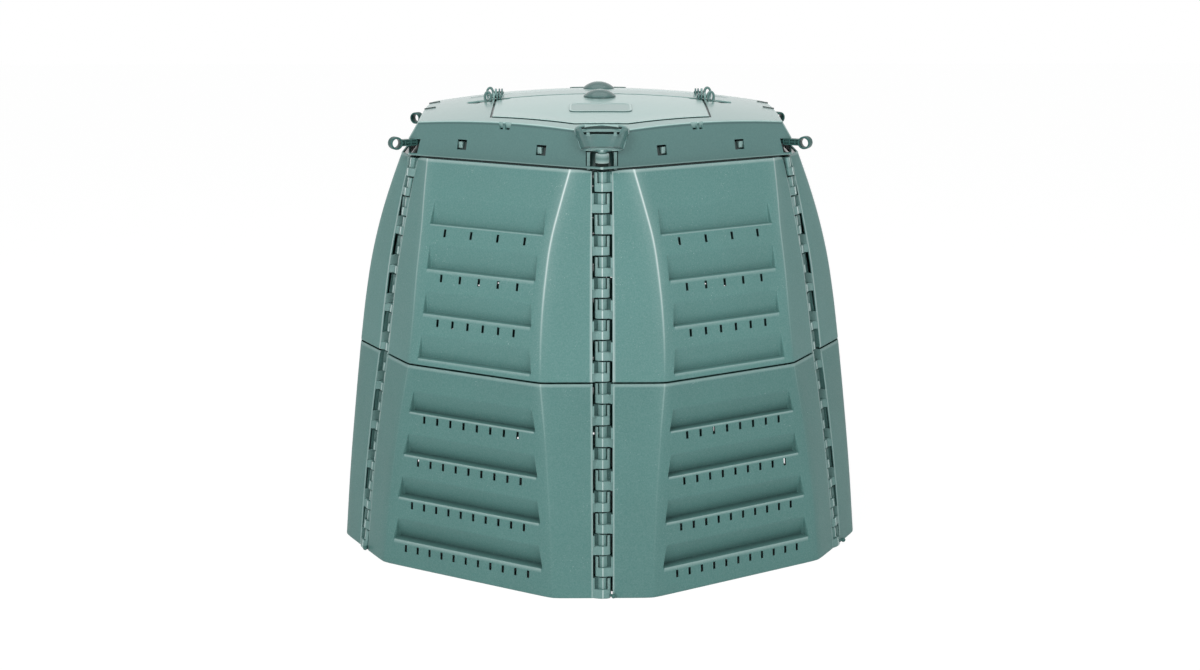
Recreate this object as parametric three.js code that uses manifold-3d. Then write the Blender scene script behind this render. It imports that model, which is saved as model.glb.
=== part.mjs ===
// Compost bin with a two-flap lid. Millimetres, +Z up, origin on the ground at the centre of the plan.
// One corner of the six-sided plan points to the front (-Y). An azimuth of 0 is the front, +90 is +X.
import * as THREE from "three";
import { mergeVertices } from "three/addons/utils/BufferGeometryUtils.js";
import { ConvexGeometry } from "three/addons/geometries/ConvexGeometry.js";
import Module from "manifold-3d";

const wasm = await Module();
wasm.setup();
const { Manifold } = wasm;

// Fits
const REST_GAP = 0.35; // between two parts that rest on each other
const RUN_GAP = 0.6; // round a shaft in its hole
const EDGE_BITE = 0.5; // how far a piece sinks into the wall that it grows from
const OVERRUN = 5; // how far a short cutter passes the piece it cuts
const OVER = 40; // how far a long cutter passes the piece it cuts

// Wall panels
const WALL = 4;
const CORNER_OPEN = 21; // from a corner's middle to the edge of each panel beside it
const FOOT_FLANGE = 16;
// Levels: height, distance to the corner facet, half width of the corner facet
const FOOT = { z: 0, reach: 615.5, half: 105.8 };
const SEAM = { z: 446, reach: 553.6, half: 129.3 };
const SHOULDER = { z: 873, reach: 468.5, half: 66.5 }; // outer top edge of the wall
// Levels between them, as shares of the way up, inwards and from one half width to the other
const LOWER_LEVEL_SHARES = [
  { z: 0.3453, reach: 0.2746, half: 0.2 },
  { z: 0.7713, reach: 0.7189, half: 0.6468 },
];
const UPPER_LEVEL_SHARES = [
  { z: 0.2459, reach: 0.1774, half: 0.0446 },
  { z: 0.4632, reach: 0.3537, half: 0.172 },
  { z: 0.6885, reach: 0.6005, half: 0.4029 },
  { z: 0.8407, reach: 0.7826, half: 0.6815 },
];
const onTheWay = (from, to, share) => ({
  z: from.z + share.z * (to.z - from.z),
  reach: from.reach + share.reach * (to.reach - from.reach),
  half: from.half + share.half * (to.half - from.half),
});
const LOWER_LEVELS = [
  FOOT,
  ...LOWER_LEVEL_SHARES.map((share) => onTheWay(FOOT, SEAM, share)),
  { ...SEAM, z: SEAM.z - REST_GAP },
];
const UPPER_LEVELS = [SEAM, ...UPPER_LEVEL_SHARES.map((share) => onTheWay(SEAM, SHOULDER, share)), SHOULDER];
// Louvre pockets and the row of slots under each ledge. Heights are shares of the panel's height, widths are
// shares of the face's half width there: ledge height, pocket height, half width at the top and at the ledge,
// depth, how many slots, half the span between the outer two, and how far below the ledge
const POCKET_DEPTH = 26;
const POCKET_DRAFT = 2;
const LOWER_ROW_SHARES = [
  {
    ledge: 0.1314, rise: 0.1076, top: 0.8581, foot: 0.8919,
    depth: 1.0, slots: 11, span: 0.7333, below: 0.0386,
  },
  {
    ledge: 0.3453, rise: 0.1054, top: 0.859, foot: 0.8794,
    depth: 1.0, slots: 10, span: 0.695, below: 0.0325,
  },
  {
    ledge: 0.5594, rise: 0.1031, top: 0.847, foot: 0.8747,
    depth: 0.923, slots: 9, span: 0.6699, below: 0.0314,
  },
  {
    ledge: 0.7713, rise: 0.102, top: 0.8495, foot: 0.8743,
    depth: 0.808, slots: 8, span: 0.6446, below: 0.0291,
  },
];
const UPPER_ROW_SHARES = [
  {
    ledge: 0.0375, rise: 0.1194, top: 0.8295, foot: 0.8595,
    depth: 0.692, slots: 0, span: 0.0, below: 0.0,
  },
  {
    ledge: 0.2623, rise: 0.1112, top: 0.8158, foot: 0.8424,
    depth: 0.654, slots: 6, span: 0.5931, below: 0.0391,
  },
  {
    ledge: 0.4813, rise: 0.1218, top: 0.8292, foot: 0.8444,
    depth: 0.654, slots: 5, span: 0.5943, below: 0.0377,
  },
  {
    ledge: 0.6979, rise: 0.1194, top: 0.8182, foot: 0.8692,
    depth: 0.538, slots: 4, span: 0.6152, below: 0.0375,
  },
];
const SLOT = { wide: 4.6, tall: 15.5, deep: 30 };

// Hinge columns
const AXIS_IN = { foot: 13.5, shoulder: 6.8 }; // how far the rod's axis is inside the corner facet
const FINGERS = 10; // in each of the two sections of a column
const FINGER_GAP = 2.6;
const FINGER = { front: 17.6, back: 13, side: 17, flank: 3, cheek: 9, tuck: 12, clear: 19.6 };
const LOWEST_FINGER = 14; // room for the rod's tail
const ROD_RADIUS = 4;
const BORE_SIDES = 4;
const ROD_SIDES = 8;
const TAIL = { z: 7.5, radius: 2.6, side: 22, out: 21, knob: 5 };
const TAIL_SIDES = 5;
const KNOB_SIDES = { round: 6, tall: 4 };

// Lid: its skirt stands on a ledge at the top of the wall
const LID_LIFT = 4; // from the wall's top edge to the skirt's foot
const LID_OVERHANG = 10.5;
const LID = { skin: 4, cornerHalf: 8, power: 1.9, skirtTall: 71, leanIn: 22, crown: 44 };
LID.skirtZ = SHOULDER.z + LID_LIFT;
LID.rimZ = LID.skirtZ + LID.skirtTall;
LID.topZ = LID.rimZ + LID.crown;
LID.skirtReach = SHOULDER.reach + LID_OVERHANG;
LID.rimReach = LID.skirtReach - LID.leanIn;
const DECK_SHARES = [1, 0.74, 0.42];
const SEAT_DROP = 4.4; // from the deck's top to the flap's seat
const SEAT_SKIN = 4;
const SEAT_WIDTH = 10;

// Collar of the upper panels, inside the lid's skirt, and the post beside each corner
const COLLAR = { clear: 5.2, skin: 4, rise: 38.5, ramp: 0.6, draft: 1.1, root: 5.4, cornerRoom: 26 };
const POST = { low: 11, over: 0.3, left: 17, right: 24, thick: 12, footIn: 22.5, lean: 12 };
POST.footZ = SHOULDER.z - POST.low;
POST.topZ = SHOULDER.z + COLLAR.rise + POST.over;
POST.foot = SHOULDER.reach - POST.footIn;
POST.top = POST.foot - POST.lean;

// Windows in the skirt and the lugs of the wall behind them
const WINDOW = { sill: 19, tall: 21, wide: 21, near: 90, far: 107, even: 98.5 };
WINDOW.low = LID.skirtZ + WINDOW.sill;
WINDOW.high = WINDOW.low + WINDOW.tall;
const LUG = { above: 3, tall: 15, wide: 13, short: 1.2 };
LUG.low = WINDOW.low + LUG.above;
LUG.high = LUG.low + LUG.tall;

// Corner notches in the skirt, and the bracket behind each one that the ring pin goes through
const BRACKET = { half: 16, thick: 8.5, clear: 2, low: 15 };
BRACKET.outer = POST.top - BRACKET.clear;
BRACKET.inner = BRACKET.outer - BRACKET.thick;
const NOTCH = { half: 33, sideHalf: 16, tall: 34.5, bar: 4.5 }; // the bar closes the notch at the skirt's foot
NOTCH.inner = BRACKET.outer + OVERRUN;
NOTCH.top = LID.skirtZ + NOTCH.tall;
const CORNER_PIN = { above: 27.5, shaft: 4.5, past: 3.5, out: 32.5, stem: 6.4, stemLong: 56 };
CORNER_PIN.z = LID.skirtZ + CORNER_PIN.above;
CORNER_PIN.inner = BRACKET.inner - CORNER_PIN.past;
CORNER_PIN.ringAt = LID.skirtReach + CORNER_PIN.out;
const CORNER_RING = { long: 14, tall: 13.8, wide: 19, bar: 3.8 };

// Flaps and their hinges
const HINGE = { y: 52, sunk: 7.5, radius: 9.5, shaft: 3 };
HINGE.z = LID.topZ - HINGE.sunk;
const FLAP_GAP = 1.5; // each side of the black line round a flap
const OPENING = { sideShare: 0.5136, rimMargin: 33, hingeSide: 42.5, cornerRoom: 70.5 };
OPENING.side = OPENING.sideShare * LID.rimReach;
OPENING.cut = LID.rimReach - OPENING.cornerRoom;
const FLAP_BACK = 48;
const EAR_THICK = 3.6;
const FLAP_EAR_INSETS = { inner: 11.7, outer: 5.5 };
const FLAP_EARS = Object.values(FLAP_EAR_INSETS).map((by) => {
  const near = OPENING.side - by;
  return [near, near + EAR_THICK];
});
const FRAME_EAR_PAST = { near: 2, far: 6.7 };
const FRAME_EAR = [OPENING.side + FRAME_EAR_PAST.near, OPENING.side + FRAME_EAR_PAST.far];
const DOME = { y: 100, radius: 36, height: 18, sides: 12, rings: 2, sink: 1 };
const PLATE = { share: 0.5252, half: 68, deep: 45, rise: 2.4, corner: 12 };
PLATE.y = PLATE.share * LID.rimReach;
const FLAP_PIN = { past: 2, out: 11.2 };
FLAP_PIN.inner = FLAP_EARS[0][0] - FLAP_PIN.past;
FLAP_PIN.ringAt = FRAME_EAR[1] + FLAP_PIN.out;
const FLAP_RING = { long: 9.4, tall: 12.5, wide: 14, bar: 3.6 };
const TROUGH = { half: 11, deep: 16.5, skin: 3.5, long: 61 };
TROUGH.inner = FRAME_EAR[1] + RUN_GAP;
TROUGH.outer = TROUGH.inner + TROUGH.long;
TROUGH.floor = HINGE.z - TROUGH.deep;

// Hand recess at the front and rear corner: half circles that widen upwards round a point near the skirt, with
// a shelf behind them that leaves room under the flap's tongue
const SCOOP = { inside: 19, radius: 41, flare: 0.5, skin: 3, room: 72, shelf: 17, shelfHalf: 44, rise: 12 };
SCOOP.back = LID.rimReach - SCOOP.room;
SCOOP.y = LID.skirtReach - SCOOP.inside;
const SCOOP_TURNS = [0, 45, 90, 135, 180];
SCOOP.floor = NOTCH.top + WALL;
SCOOP.rim = LID.rimZ + SCOOP.rise;
SCOOP.shelfZ = SCOOP.rim - SCOOP.shelf;
const TONGUE = { half: 35, past: 26, above: 2, lip: 4, thick: 2.5, sunk: 1 };
TONGUE.reach = SCOOP.back + TONGUE.past;
TONGUE.low = LID.rimZ + TONGUE.above;

// Slits that notch the rim of the two plain sides, and pairs of small holes under the rim of the other four
const SLIT = { inside: 17.8, outside: 16.2, y: 64, wide: 4.5, low: 2 };
const RIM_HOLES = { low: 2, high: 13, deep: 11 };
// Of each pair: the two ends at the top and the two at the foot, along the side from its middle
const RIM_PAIR = [
  { top: [-21, -11], foot: [-16.5, -8.5] },
  { top: [-5, 12.4], foot: [-3, 7.4] },
];

const RING_SIDES = 10;
const HOLE_SIDES = 6;
const EAR_SIDES = 8;

const SIX = 6;
const STEP = Math.PI / 3;
const HALF_STEP = STEP / 2;
const COS30 = Math.cos(HALF_STEP);

// Points: distance out along an azimuth, distance along the tangent, height
function place(azimuth, out, along, z) {
  const s = Math.sin(azimuth);
  const c = Math.cos(azimuth);
  return new THREE.Vector3(s * out + c * along, s * along - c * out, z);
}

// Closed solids
function solidOf(points, triangles) {
  const geometry = new THREE.BufferGeometry().setFromPoints(points);
  const order = signedVolume(points, triangles) < 0 ? triangles.map(([a, b, c]) => [a, c, b]) : triangles;
  geometry.setIndex(order.flat());
  return fromGeometry(geometry);
}

function signedVolume(points, triangles) {
  const cross = new THREE.Vector3();
  const sixth = ([a, b, c]) => points[a].dot(cross.crossVectors(points[b], points[c]));
  return triangles.reduce((sum, triangle) => sum + sixth(triangle), 0);
}

function fromGeometry(geometry) {
  const flat = geometry.index ? geometry.toNonIndexed() : geometry;
  const bare = new THREE.BufferGeometry().setAttribute("position", flat.getAttribute("position"));
  const merged = mergeVertices(bare, 1e-4);
  const triVerts = new Uint32Array(merged.index.array);
  const vertProperties = new Float32Array(merged.attributes.position.array);
  return new Manifold(new wasm.Mesh({ numProp: 3, vertProperties, triVerts }));
}

const hull = (points) => fromGeometry(new ConvexGeometry(points));
const join = (solids) => solids.reduce((sum, solid) => sum.add(solid));
const cut = (solid, tools) => tools.reduce((rest, tool) => rest.subtract(tool), solid);

// Rings of the same number of points, one above the other, with flat ends
function loft(given) {
  const flatten = (ring) => ring.map((p) => new THREE.Vector2(p.x, p.y));
  const clockwise = THREE.ShapeUtils.area(flatten(given[0])) < 0;
  const rings = clockwise ? given.map((ring) => [...ring].reverse()) : given;
  const count = rings[0].length;
  const triangles = [];
  for (let r = 0; r + 1 < rings.length; r++) {
    for (let i = 0; i < count; i++) {
      const a = r * count + i;
      const b = r * count + ((i + 1) % count);
      triangles.push([a, b, b + count], [a, b + count, a + count]);
    }
  }
  const last = (rings.length - 1) * count;
  const plan = flatten(rings[0]);
  for (const face of THREE.ShapeUtils.triangulateShape(plan, [])) {
    const [a, b, c] = THREE.ShapeUtils.area(face.map((i) => plan[i])) > 0 ? face : [...face].reverse();
    triangles.push([a, c, b], [a + last, b + last, c + last]);
  }
  return solidOf(rings.flat(), triangles);
}

const prism = (outline, low, high) =>
  loft([low, high].map((z) => outline.map(([x, y]) => new THREE.Vector3(x, y, z))));

// A skin between two grids of points, closed along its four sides
function skin(front, back) {
  const rows = front.length;
  const wide = front[0].length;
  const points = [...front.flat(), ...back.flat()];
  const at = (side, r, c) => side * rows * wide + r * wide + c;
  const triangles = [];
  const quad = (a, b, c, d) => triangles.push([a, b, c], [a, c, d]);
  for (let r = 0; r + 1 < rows; r++) {
    for (let c = 0; c + 1 < wide; c++) {
      quad(at(0, r, c), at(0, r, c + 1), at(0, r + 1, c + 1), at(0, r + 1, c));
      quad(at(1, r, c), at(1, r + 1, c), at(1, r + 1, c + 1), at(1, r, c + 1));
    }
    quad(at(0, r, 0), at(0, r + 1, 0), at(1, r + 1, 0), at(1, r, 0));
    quad(at(0, r, wide - 1), at(1, r, wide - 1), at(1, r + 1, wide - 1), at(0, r + 1, wide - 1));
  }
  for (let c = 0; c + 1 < wide; c++) {
    quad(at(0, 0, c), at(1, 0, c), at(1, 0, c + 1), at(0, 0, c + 1));
    const top = rows - 1;
    quad(at(0, top, c), at(0, top, c + 1), at(1, top, c + 1), at(1, top, c));
  }
  return solidOf(points, triangles);
}

// A block between two distances out, two along and two heights, at an azimuth
function block(azimuth, [in0, in1], [along0, along1], [z0, z1]) {
  const points = [];
  for (const out of [in0, in1])
    for (const along of [along0, along1]) for (const z of [z0, z1]) points.push(place(azimuth, out, along, z));
  return hull(points);
}

// A rod with flat sides along a line of two points
function bar(from, to, radius, sides) {
  const axis = to.clone().sub(from);
  const body = new THREE.CylinderGeometry(radius, radius, axis.length(), sides);
  const turn = new THREE.Quaternion().setFromUnitVectors(new THREE.Vector3(0, 1, 0), axis.normalize());
  body.applyQuaternion(turn);
  body.translate(...from.clone().add(to).multiplyScalar(1 / 2).toArray());
  return fromGeometry(body);
}

// Walls: the plan has six louvred faces between six corner facets
const axisFoot = FOOT.reach - AXIS_IN.foot;
const axisLean = (axisFoot - SHOULDER.reach + AXIS_IN.shoulder) / (SHOULDER.z - FOOT.z);
const axisReach = (z) => axisFoot - axisLean * (z - FOOT.z);
const faceReach = ({ reach, half }) => half / 2 + COS30 * reach;
const faceHalf = ({ reach, half }) => reach / 2 - COS30 * half;
const inset = ({ z, reach, half }, by) => ({ z, reach: reach - by, half: half - (2 - 2 * COS30) * by });

// Plan of the hinge strip beside a corner, from its free side to the panel: front and back points
function stripPoints(corner, level, side, back) {
  const axis = axisReach(level.z);
  const wing = level.reach - axis;
  const front = [
    [-FINGER.side, FINGER.flank],
    [-FINGER.cheek, FINGER.front],
    [FINGER.cheek, FINGER.front],
    [CORNER_OPEN, wing],
  ];
  const rear = [
    [-FINGER.tuck, -FINGER.back],
    [-FINGER.tuck / 3, -FINGER.back],
    [FINGER.tuck, -FINGER.back],
    [CORNER_OPEN, wing - WALL],
  ];
  return (back ? rear : front).map(([along, out]) => place(corner, axis + out, side * along, level.z));
}

// The panel between the corners at azimuth 0 and 60 degrees, whose face looks to azimuth 30 degrees
function panelRow(level, back = false) {
  const own = back ? inset(level, WALL) : level;
  const creases = [-1, 1].map((side) => place(HALF_STEP, faceReach(own), side * faceHalf(own), level.z));
  const right = stripPoints(STEP, level, -1, back).reverse();
  return [...stripPoints(0, level, 1, back), ...creases, ...right];
}

function shoulderRow(level, by) {
  const own = inset(level, by);
  const creases = [-1, 1].map((side) => place(HALF_STEP, faceReach(own), side * faceHalf(own), level.z));
  const edges = [place(0, own.reach, CORNER_OPEN, level.z), place(STEP, own.reach, -CORNER_OPEN, level.z)];
  return [edges[0], ...creases, edges[1]];
}

// Distance from the middle of the plan to the outside of the lid's skirt, square to a side
const skirtFace = (z) => COS30 * (LID.skirtReach - (LID.leanIn / LID.skirtTall) * (z - LID.skirtZ));
const collarFace = (z) => skirtFace(z) - LID.skin - COLLAR.clear;

function collarRow(out, z) {
  const inner = faceHalf(SHOULDER);
  const half = out * Math.tan(HALF_STEP) - COLLAR.cornerRoom;
  return [-half, -inner, inner, half].map((along) => place(HALF_STEP, out, along, z));
}

// The ledge under the skirt and the collar above it, from the wall's top edge up: outside and inside
function collar() {
  const top = SHOULDER.z + COLLAR.rise;
  const step = LID.skirtZ - REST_GAP;
  const face = skirtFace(LID.skirtZ);
  const under = SHOULDER.z - COLLAR.skin;
  const outside = [
    shoulderRow({ ...SHOULDER, z: SHOULDER.z - EDGE_BITE }, 0),
    collarRow(face - REST_GAP, SHOULDER.z + COLLAR.ramp),
    collarRow(face - COLLAR.draft, step),
    collarRow(collarFace(step), step),
    collarRow(collarFace(top), top),
  ];
  const inside = [
    shoulderRow({ ...SHOULDER, z: under }, WALL),
    collarRow(face - COLLAR.root, under),
    collarRow(face - COLLAR.root - COLLAR.skin, under + COLLAR.ramp),
    collarRow(collarFace(step) - COLLAR.skin, SHOULDER.z),
    collarRow(collarFace(top) - COLLAR.skin, top),
  ];
  return skin(outside, inside);
}

function levelAt(levels, z) {
  let i = 0;
  while (i + 2 < levels.length && levels[i + 1].z < z) i++;
  const a = levels[i];
  const b = levels[i + 1];
  const t = (z - a.z) / (b.z - a.z);
  return { z, reach: a.reach + t * (b.reach - a.reach), half: a.half + t * (b.half - a.half) };
}

// A row of louvres in millimetres
function louvreRow(levels, shares) {
  const low = levels[0].z;
  const tall = levels[levels.length - 1].z - low;
  const ledge = low + shares.ledge * tall;
  const rise = shares.rise * tall;
  const below = shares.below * tall;
  const halfAt = (z) => faceHalf(levelAt(levels, z));
  const [foot, top, span] = [
    shares.foot * halfAt(ledge),
    shares.top * halfAt(ledge + rise),
    shares.span * halfAt(ledge - below),
  ];
  return { ledge, rise, below, foot, top, span, depth: shares.depth * POCKET_DEPTH, slots: shares.slots };
}

// The outside of a pocket: its top edge, its foot on the face and the inner end of its ledge
function pocketCorners(levels, row, side) {
  const top = row.ledge + row.rise;
  const outTop = faceReach(levelAt(levels, top));
  const outFoot = faceReach(levelAt(levels, row.ledge));
  return {
    top: place(HALF_STEP, outTop, side * row.top, top),
    foot: place(HALF_STEP, outFoot, side * row.foot, row.ledge),
    inner: place(HALF_STEP, outFoot - row.depth, side * (row.foot - POCKET_DRAFT), row.ledge),
  };
}

function pocketCut(levels, row) {
  const points = [];
  for (const side of [-1, 1]) {
    const { top, foot, inner } = pocketCorners(levels, row, side);
    const beyond = (p) => p.clone().add(p.clone().sub(inner).setLength(OVER / 2));
    points.push(beyond(top), beyond(foot), inner);
  }
  return hull(points);
}

function pocketBack(levels, row) {
  const top = row.ledge + row.rise + WALL;
  const low = row.ledge - WALL;
  const outTop = faceReach(levelAt(levels, top)) - WALL / 2;
  const outFoot = faceReach(levelAt(levels, low)) - WALL / 2;
  const back = faceReach(levelAt(levels, row.ledge)) - row.depth - WALL;
  const points = [];
  for (const side of [-1, 1]) {
    points.push(place(HALF_STEP, outTop, side * (row.top + WALL), top));
    points.push(place(HALF_STEP, outFoot, side * (row.foot + WALL), low));
    points.push(place(HALF_STEP, back, side * (row.foot + WALL - POCKET_DRAFT), low));
    points.push(place(HALF_STEP, back, side * (row.foot + WALL - POCKET_DRAFT), row.ledge));
  }
  return hull(points);
}

function slotCuts(levels, row) {
  const z = row.ledge - row.below;
  const out = faceReach(levelAt(levels, z));
  return Array.from({ length: row.slots }, (_, i) => {
    const along = -row.span + (2 * row.span * i) / (row.slots - 1);
    return block(
      HALF_STEP,
      [out - SLOT.deep / 2, out + SLOT.deep / 2],
      [along - SLOT.wide / 2, along + SLOT.wide / 2],
      [z - SLOT.tall / 2, z + SLOT.tall / 2],
    );
  });
}

// Hinge fingers: side is +1 for the panel on the right of a corner as seen from outside. Each panel has a
// strip along its edge, cut away wherever the other panel's fingers come
function fingerGaps(corner, levels, side) {
  const low = levels[0].z;
  const pitch = (levels[levels.length - 1].z - low) / FINGERS;
  const along = side > 0 ? [-OVER, FINGER.clear] : [-FINGER.clear, OVER];
  const gap = (from, to) => {
    const axis = axisReach((from + to) / 2);
    return block(corner, [axis - OVER, axis + OVER], along, [from - FINGER_GAP / 2, to + FINGER_GAP / 2]);
  };
  const gaps = [gap(low, Math.max(low, LOWEST_FINGER)), gap(low + FINGERS * pitch, low + FINGERS * pitch)];
  for (let i = side > 0 ? 0 : 1; i < FINGERS; i += 2) gaps.push(gap(low + i * pitch, low + (i + 1) * pitch));
  return gaps;
}

function axisBar(corner, low, high, radius, sides) {
  return bar(place(corner, axisReach(low), 0, low), place(corner, axisReach(high), 0, high), radius, sides);
}

const boreRadius = (ROD_RADIUS + RUN_GAP) / Math.cos(Math.PI / BORE_SIDES);
const bore = (corner) => axisBar(corner, -OVER, POST.topZ + OVER, boreRadius, BORE_SIDES);
const bores = () => [0, STEP].map(bore);

const wallShell = (levels) =>
  skin(
    levels.map((level) => panelRow(level)),
    levels.map((level) => panelRow(level, true)),
  );

function panel(shell, levels, rowShares, extras) {
  const rows = rowShares.map((shares) => louvreRow(levels, shares));
  const solid = join([
    shell,
    ...rows.map((row) => pocketBack(levels, row)),
  ]);
  const cuts = rows.flatMap((row) => [pocketCut(levels, row), ...slotCuts(levels, row)]);
  cuts.push(...fingerGaps(0, levels, 1), ...fingerGaps(STEP, levels, -1));
  return cut(join([cut(solid, cuts), ...extras]), bores());
}

// A flange turned inwards along the foot of a lower panel
function footFlange() {
  const edge = (by, z) => {
    const level = inset(LOWER_LEVELS[0], by);
    const half = faceHalf(level);
    const creases = [-half, half].map((along) => place(HALF_STEP, faceReach(level), along, z));
    return [place(0, level.reach, CORNER_OPEN, z), ...creases, place(STEP, level.reach, -CORNER_OPEN, z)];
  };
  const ring = (z) => [...edge(WALL - EDGE_BITE, z), ...edge(FOOT_FLANGE, z).reverse()];
  return loft([0, WALL].map(ring));
}

function lowerPanel() {
  return panel(wallShell(LOWER_LEVELS), LOWER_LEVELS, LOWER_ROW_SHARES, [footFlange()]);
}

// The post beside each corner that takes the lid's ring pin
function cornerPost() {
  const points = [];
  for (const along of [-POST.left, POST.right]) {
    for (const out of [0, POST.thick]) {
      points.push(place(0, POST.foot + out, along, POST.footZ), place(0, POST.top + out, along, POST.topZ));
    }
  }
  return hull(points);
}

const pinLine = (azimuth, radius, inner, outer) =>
  bar(place(azimuth, inner, 0, CORNER_PIN.z), place(azimuth, outer, 0, CORNER_PIN.z), radius, HOLE_SIDES);

function lidLugs(places) {
  const radial = [collarFace(LUG.high) - COLLAR.skin / 2, skirtFace(LUG.high) - LUG.short];
  return places.map((along) =>
    block(HALF_STEP, radial, [along - LUG.wide / 2, along + LUG.wide / 2], [LUG.low, LUG.high]),
  );
}

function upperPanel(lugPlaces) {
  const extras = [collar(), cornerPost(), ...lidLugs(lugPlaces)];
  const made = panel(wallShell(UPPER_LEVELS), UPPER_LEVELS, UPPER_ROW_SHARES, extras);
  const hole = pinLine(0, CORNER_PIN.shaft + RUN_GAP, CORNER_PIN.inner - OVER, CORNER_PIN.ringAt);
  return made.subtract(hole);
}

// Rods: one in each corner, with a tail and a knob at the foot
function hingeRod() {
  const low = TAIL.z - TAIL.radius;
  const foot = place(0, axisReach(TAIL.z), 0, TAIL.z);
  const knob = place(0, axisReach(TAIL.z) + TAIL.out, TAIL.side, TAIL.z);
  const ball = new THREE.SphereGeometry(TAIL.knob, KNOB_SIDES.round, KNOB_SIDES.tall);
  return join([
    axisBar(0, low, SHOULDER.z - FINGER_GAP, ROD_RADIUS, ROD_SIDES),
    bar(foot, knob, TAIL.radius, TAIL_SIDES),
    fromGeometry(ball.translate(...knob.toArray())),
  ]);
}

// Lid: a crowned body; every skin in it is a difference of two such bodies
const deckZ = (x, y) => LID.topZ - (LID.topZ - LID.rimZ) * (Math.hypot(x, y) / LID.rimReach) ** LID.power;

function lidRing(reach, z) {
  const ring = [];
  for (let i = 0; i < SIX; i++) {
    const corner = i * STEP;
    const side = reach - LID.cornerHalf * Math.tan(HALF_STEP);
    ring.push(place(corner, side, -LID.cornerHalf, z), place(corner, side, LID.cornerHalf, z));
    ring.push(place(corner + HALF_STEP, reach * COS30, 0, z));
  }
  return ring;
}

function lidBody(drop, low) {
  const shrink = drop / COS30;
  const onDeck = (p) => p.setZ(deckZ(p.x, p.y) - drop);
  const rings = [lidRing(skirtFace(low) / COS30 - shrink, low)];
  for (const share of DECK_SHARES) rings.push(lidRing(share * (LID.rimReach - shrink), 0).map(onDeck));
  const points = [...rings.flat(), new THREE.Vector3(0, 0, low), new THREE.Vector3(0, 0, LID.topZ - drop)];
  const count = rings[0].length;
  const triangles = [];
  for (let r = 0; r + 1 < rings.length; r++) {
    for (let i = 0; i < count; i++) {
      const a = r * count + i;
      const b = r * count + ((i + 1) % count);
      triangles.push([a, b, b + count], [a, b + count, a + count]);
    }
  }
  const bottom = rings.length * count;
  const last = bottom - count;
  for (let i = 0; i < count; i++) {
    const next = (i + 1) % count;
    triangles.push([bottom, next, i], [bottom + 1, last + i, last + next]);
  }
  return solidOf(points, triangles);
}

// Plan of a flap opening, grown or shrunk by a margin
function flapPlan(grow, back) {
  const side = OPENING.side + grow;
  const margin = OPENING.rimMargin - grow;
  const frontAt = (x) => (LID.rimReach * COS30 - margin - x / 2) / COS30;
  const cutAt = OPENING.cut + grow;
  const cutHalf = 2 * (LID.rimReach * COS30 - margin - COS30 * cutAt);
  return [
    [-side, -back],
    [-side, -frontAt(side)],
    [-cutHalf, -cutAt],
    [cutHalf, -cutAt],
    [side, -frontAt(side)],
    [side, -back],
  ];
}

const turned = (solid) => solid.rotate([0, 0, 180]);
const both = (solid) => [solid, turned(solid)];

// The clear way through an opening: it leaves a seat along the sides and the front
function clearWay() {
  const side = OPENING.side + FLAP_GAP;
  const free = HINGE.y + HINGE.radius + RUN_GAP;
  const through = prism(flapPlan(-SEAT_WIDTH, OPENING.hingeSide), LID.skirtZ - OVER, LID.topZ + OVER);
  const nearHinge = prism(
    [[-side, -free], [side, -free], [side, -OPENING.hingeSide], [-side, -OPENING.hingeSide]],
    LID.skirtZ - OVER,
    LID.topZ + OVER,
  );
  return through.add(nearHinge);
}

function scoopBody(grow) {
  const front = -(LID.skirtReach + OVER);
  const bowl = [SCOOP.floor - grow, SCOOP.rim + OVER].flatMap((z) => {
    const radius = SCOOP.radius + SCOOP.flare * (z - SCOOP.floor + grow) + grow;
    const arc = SCOOP_TURNS.map((turn) => {
      const angle = THREE.MathUtils.degToRad(turn);
      return new THREE.Vector3(radius * Math.cos(angle), -SCOOP.y + radius * Math.sin(angle), z);
    });
    return [...arc, new THREE.Vector3(radius, front, z), new THREE.Vector3(-radius, front, z)];
  });
  const half = SCOOP.shelfHalf + grow;
  const shelf = prism(
    [[-half, -SCOOP.y], [half, -SCOOP.y], [half, grow - SCOOP.back], [-half, grow - SCOOP.back]],
    SCOOP.shelfZ - grow,
    SCOOP.rim + OVER,
  );
  return hull(bowl).add(shelf);
}

function windowCuts(azimuth, places) {
  const radial = [skirtFace(WINDOW.high) - LID.skin - OVERRUN, skirtFace(WINDOW.low) + OVERRUN];
  const half = WINDOW.wide / 2;
  const heights = [WINDOW.low, WINDOW.high];
  return places.map((along) => block(azimuth, radial, [along - half, along + half], heights));
}

// Two small holes under the rim in the middle of a long side, the wider one nearer the front or the rear
function rimHoles(azimuth, side) {
  const heights = [LID.rimZ + RIM_HOLES.low, LID.rimZ + RIM_HOLES.high];
  const outer = skirtFace(heights[0]) + OVERRUN;
  return RIM_PAIR.map(({ top, foot }) => {
    const points = [outer, outer - OVERRUN - RIM_HOLES.deep].flatMap((out) => [
      ...foot.map((along) => place(azimuth, out, side * along, heights[0])),
      ...top.map((along) => place(azimuth, out, side * along, heights[1])),
    ]);
    return hull(points);
  });
}

// Slits across the rim of the plain sides
function rimSlits() {
  const heights = [LID.rimZ + SLIT.low, LID.topZ];
  const rim = LID.rimReach * COS30;
  const radial = [rim - SLIT.inside, rim + SLIT.outside];
  return [-1, 1].map((side) =>
    block(Math.PI / 2, radial, [side * SLIT.y - SLIT.wide / 2, side * SLIT.y + SLIT.wide / 2], heights),
  );
}

// Places of the windows on the six sides, and of the lugs behind them
const WINDOW_SETS = {
  right_of_apex: [-WINDOW.near, WINDOW.far],
  left_of_apex: [-WINDOW.far, WINDOW.near],
  even: [-WINDOW.even, WINDOW.even],
};
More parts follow.
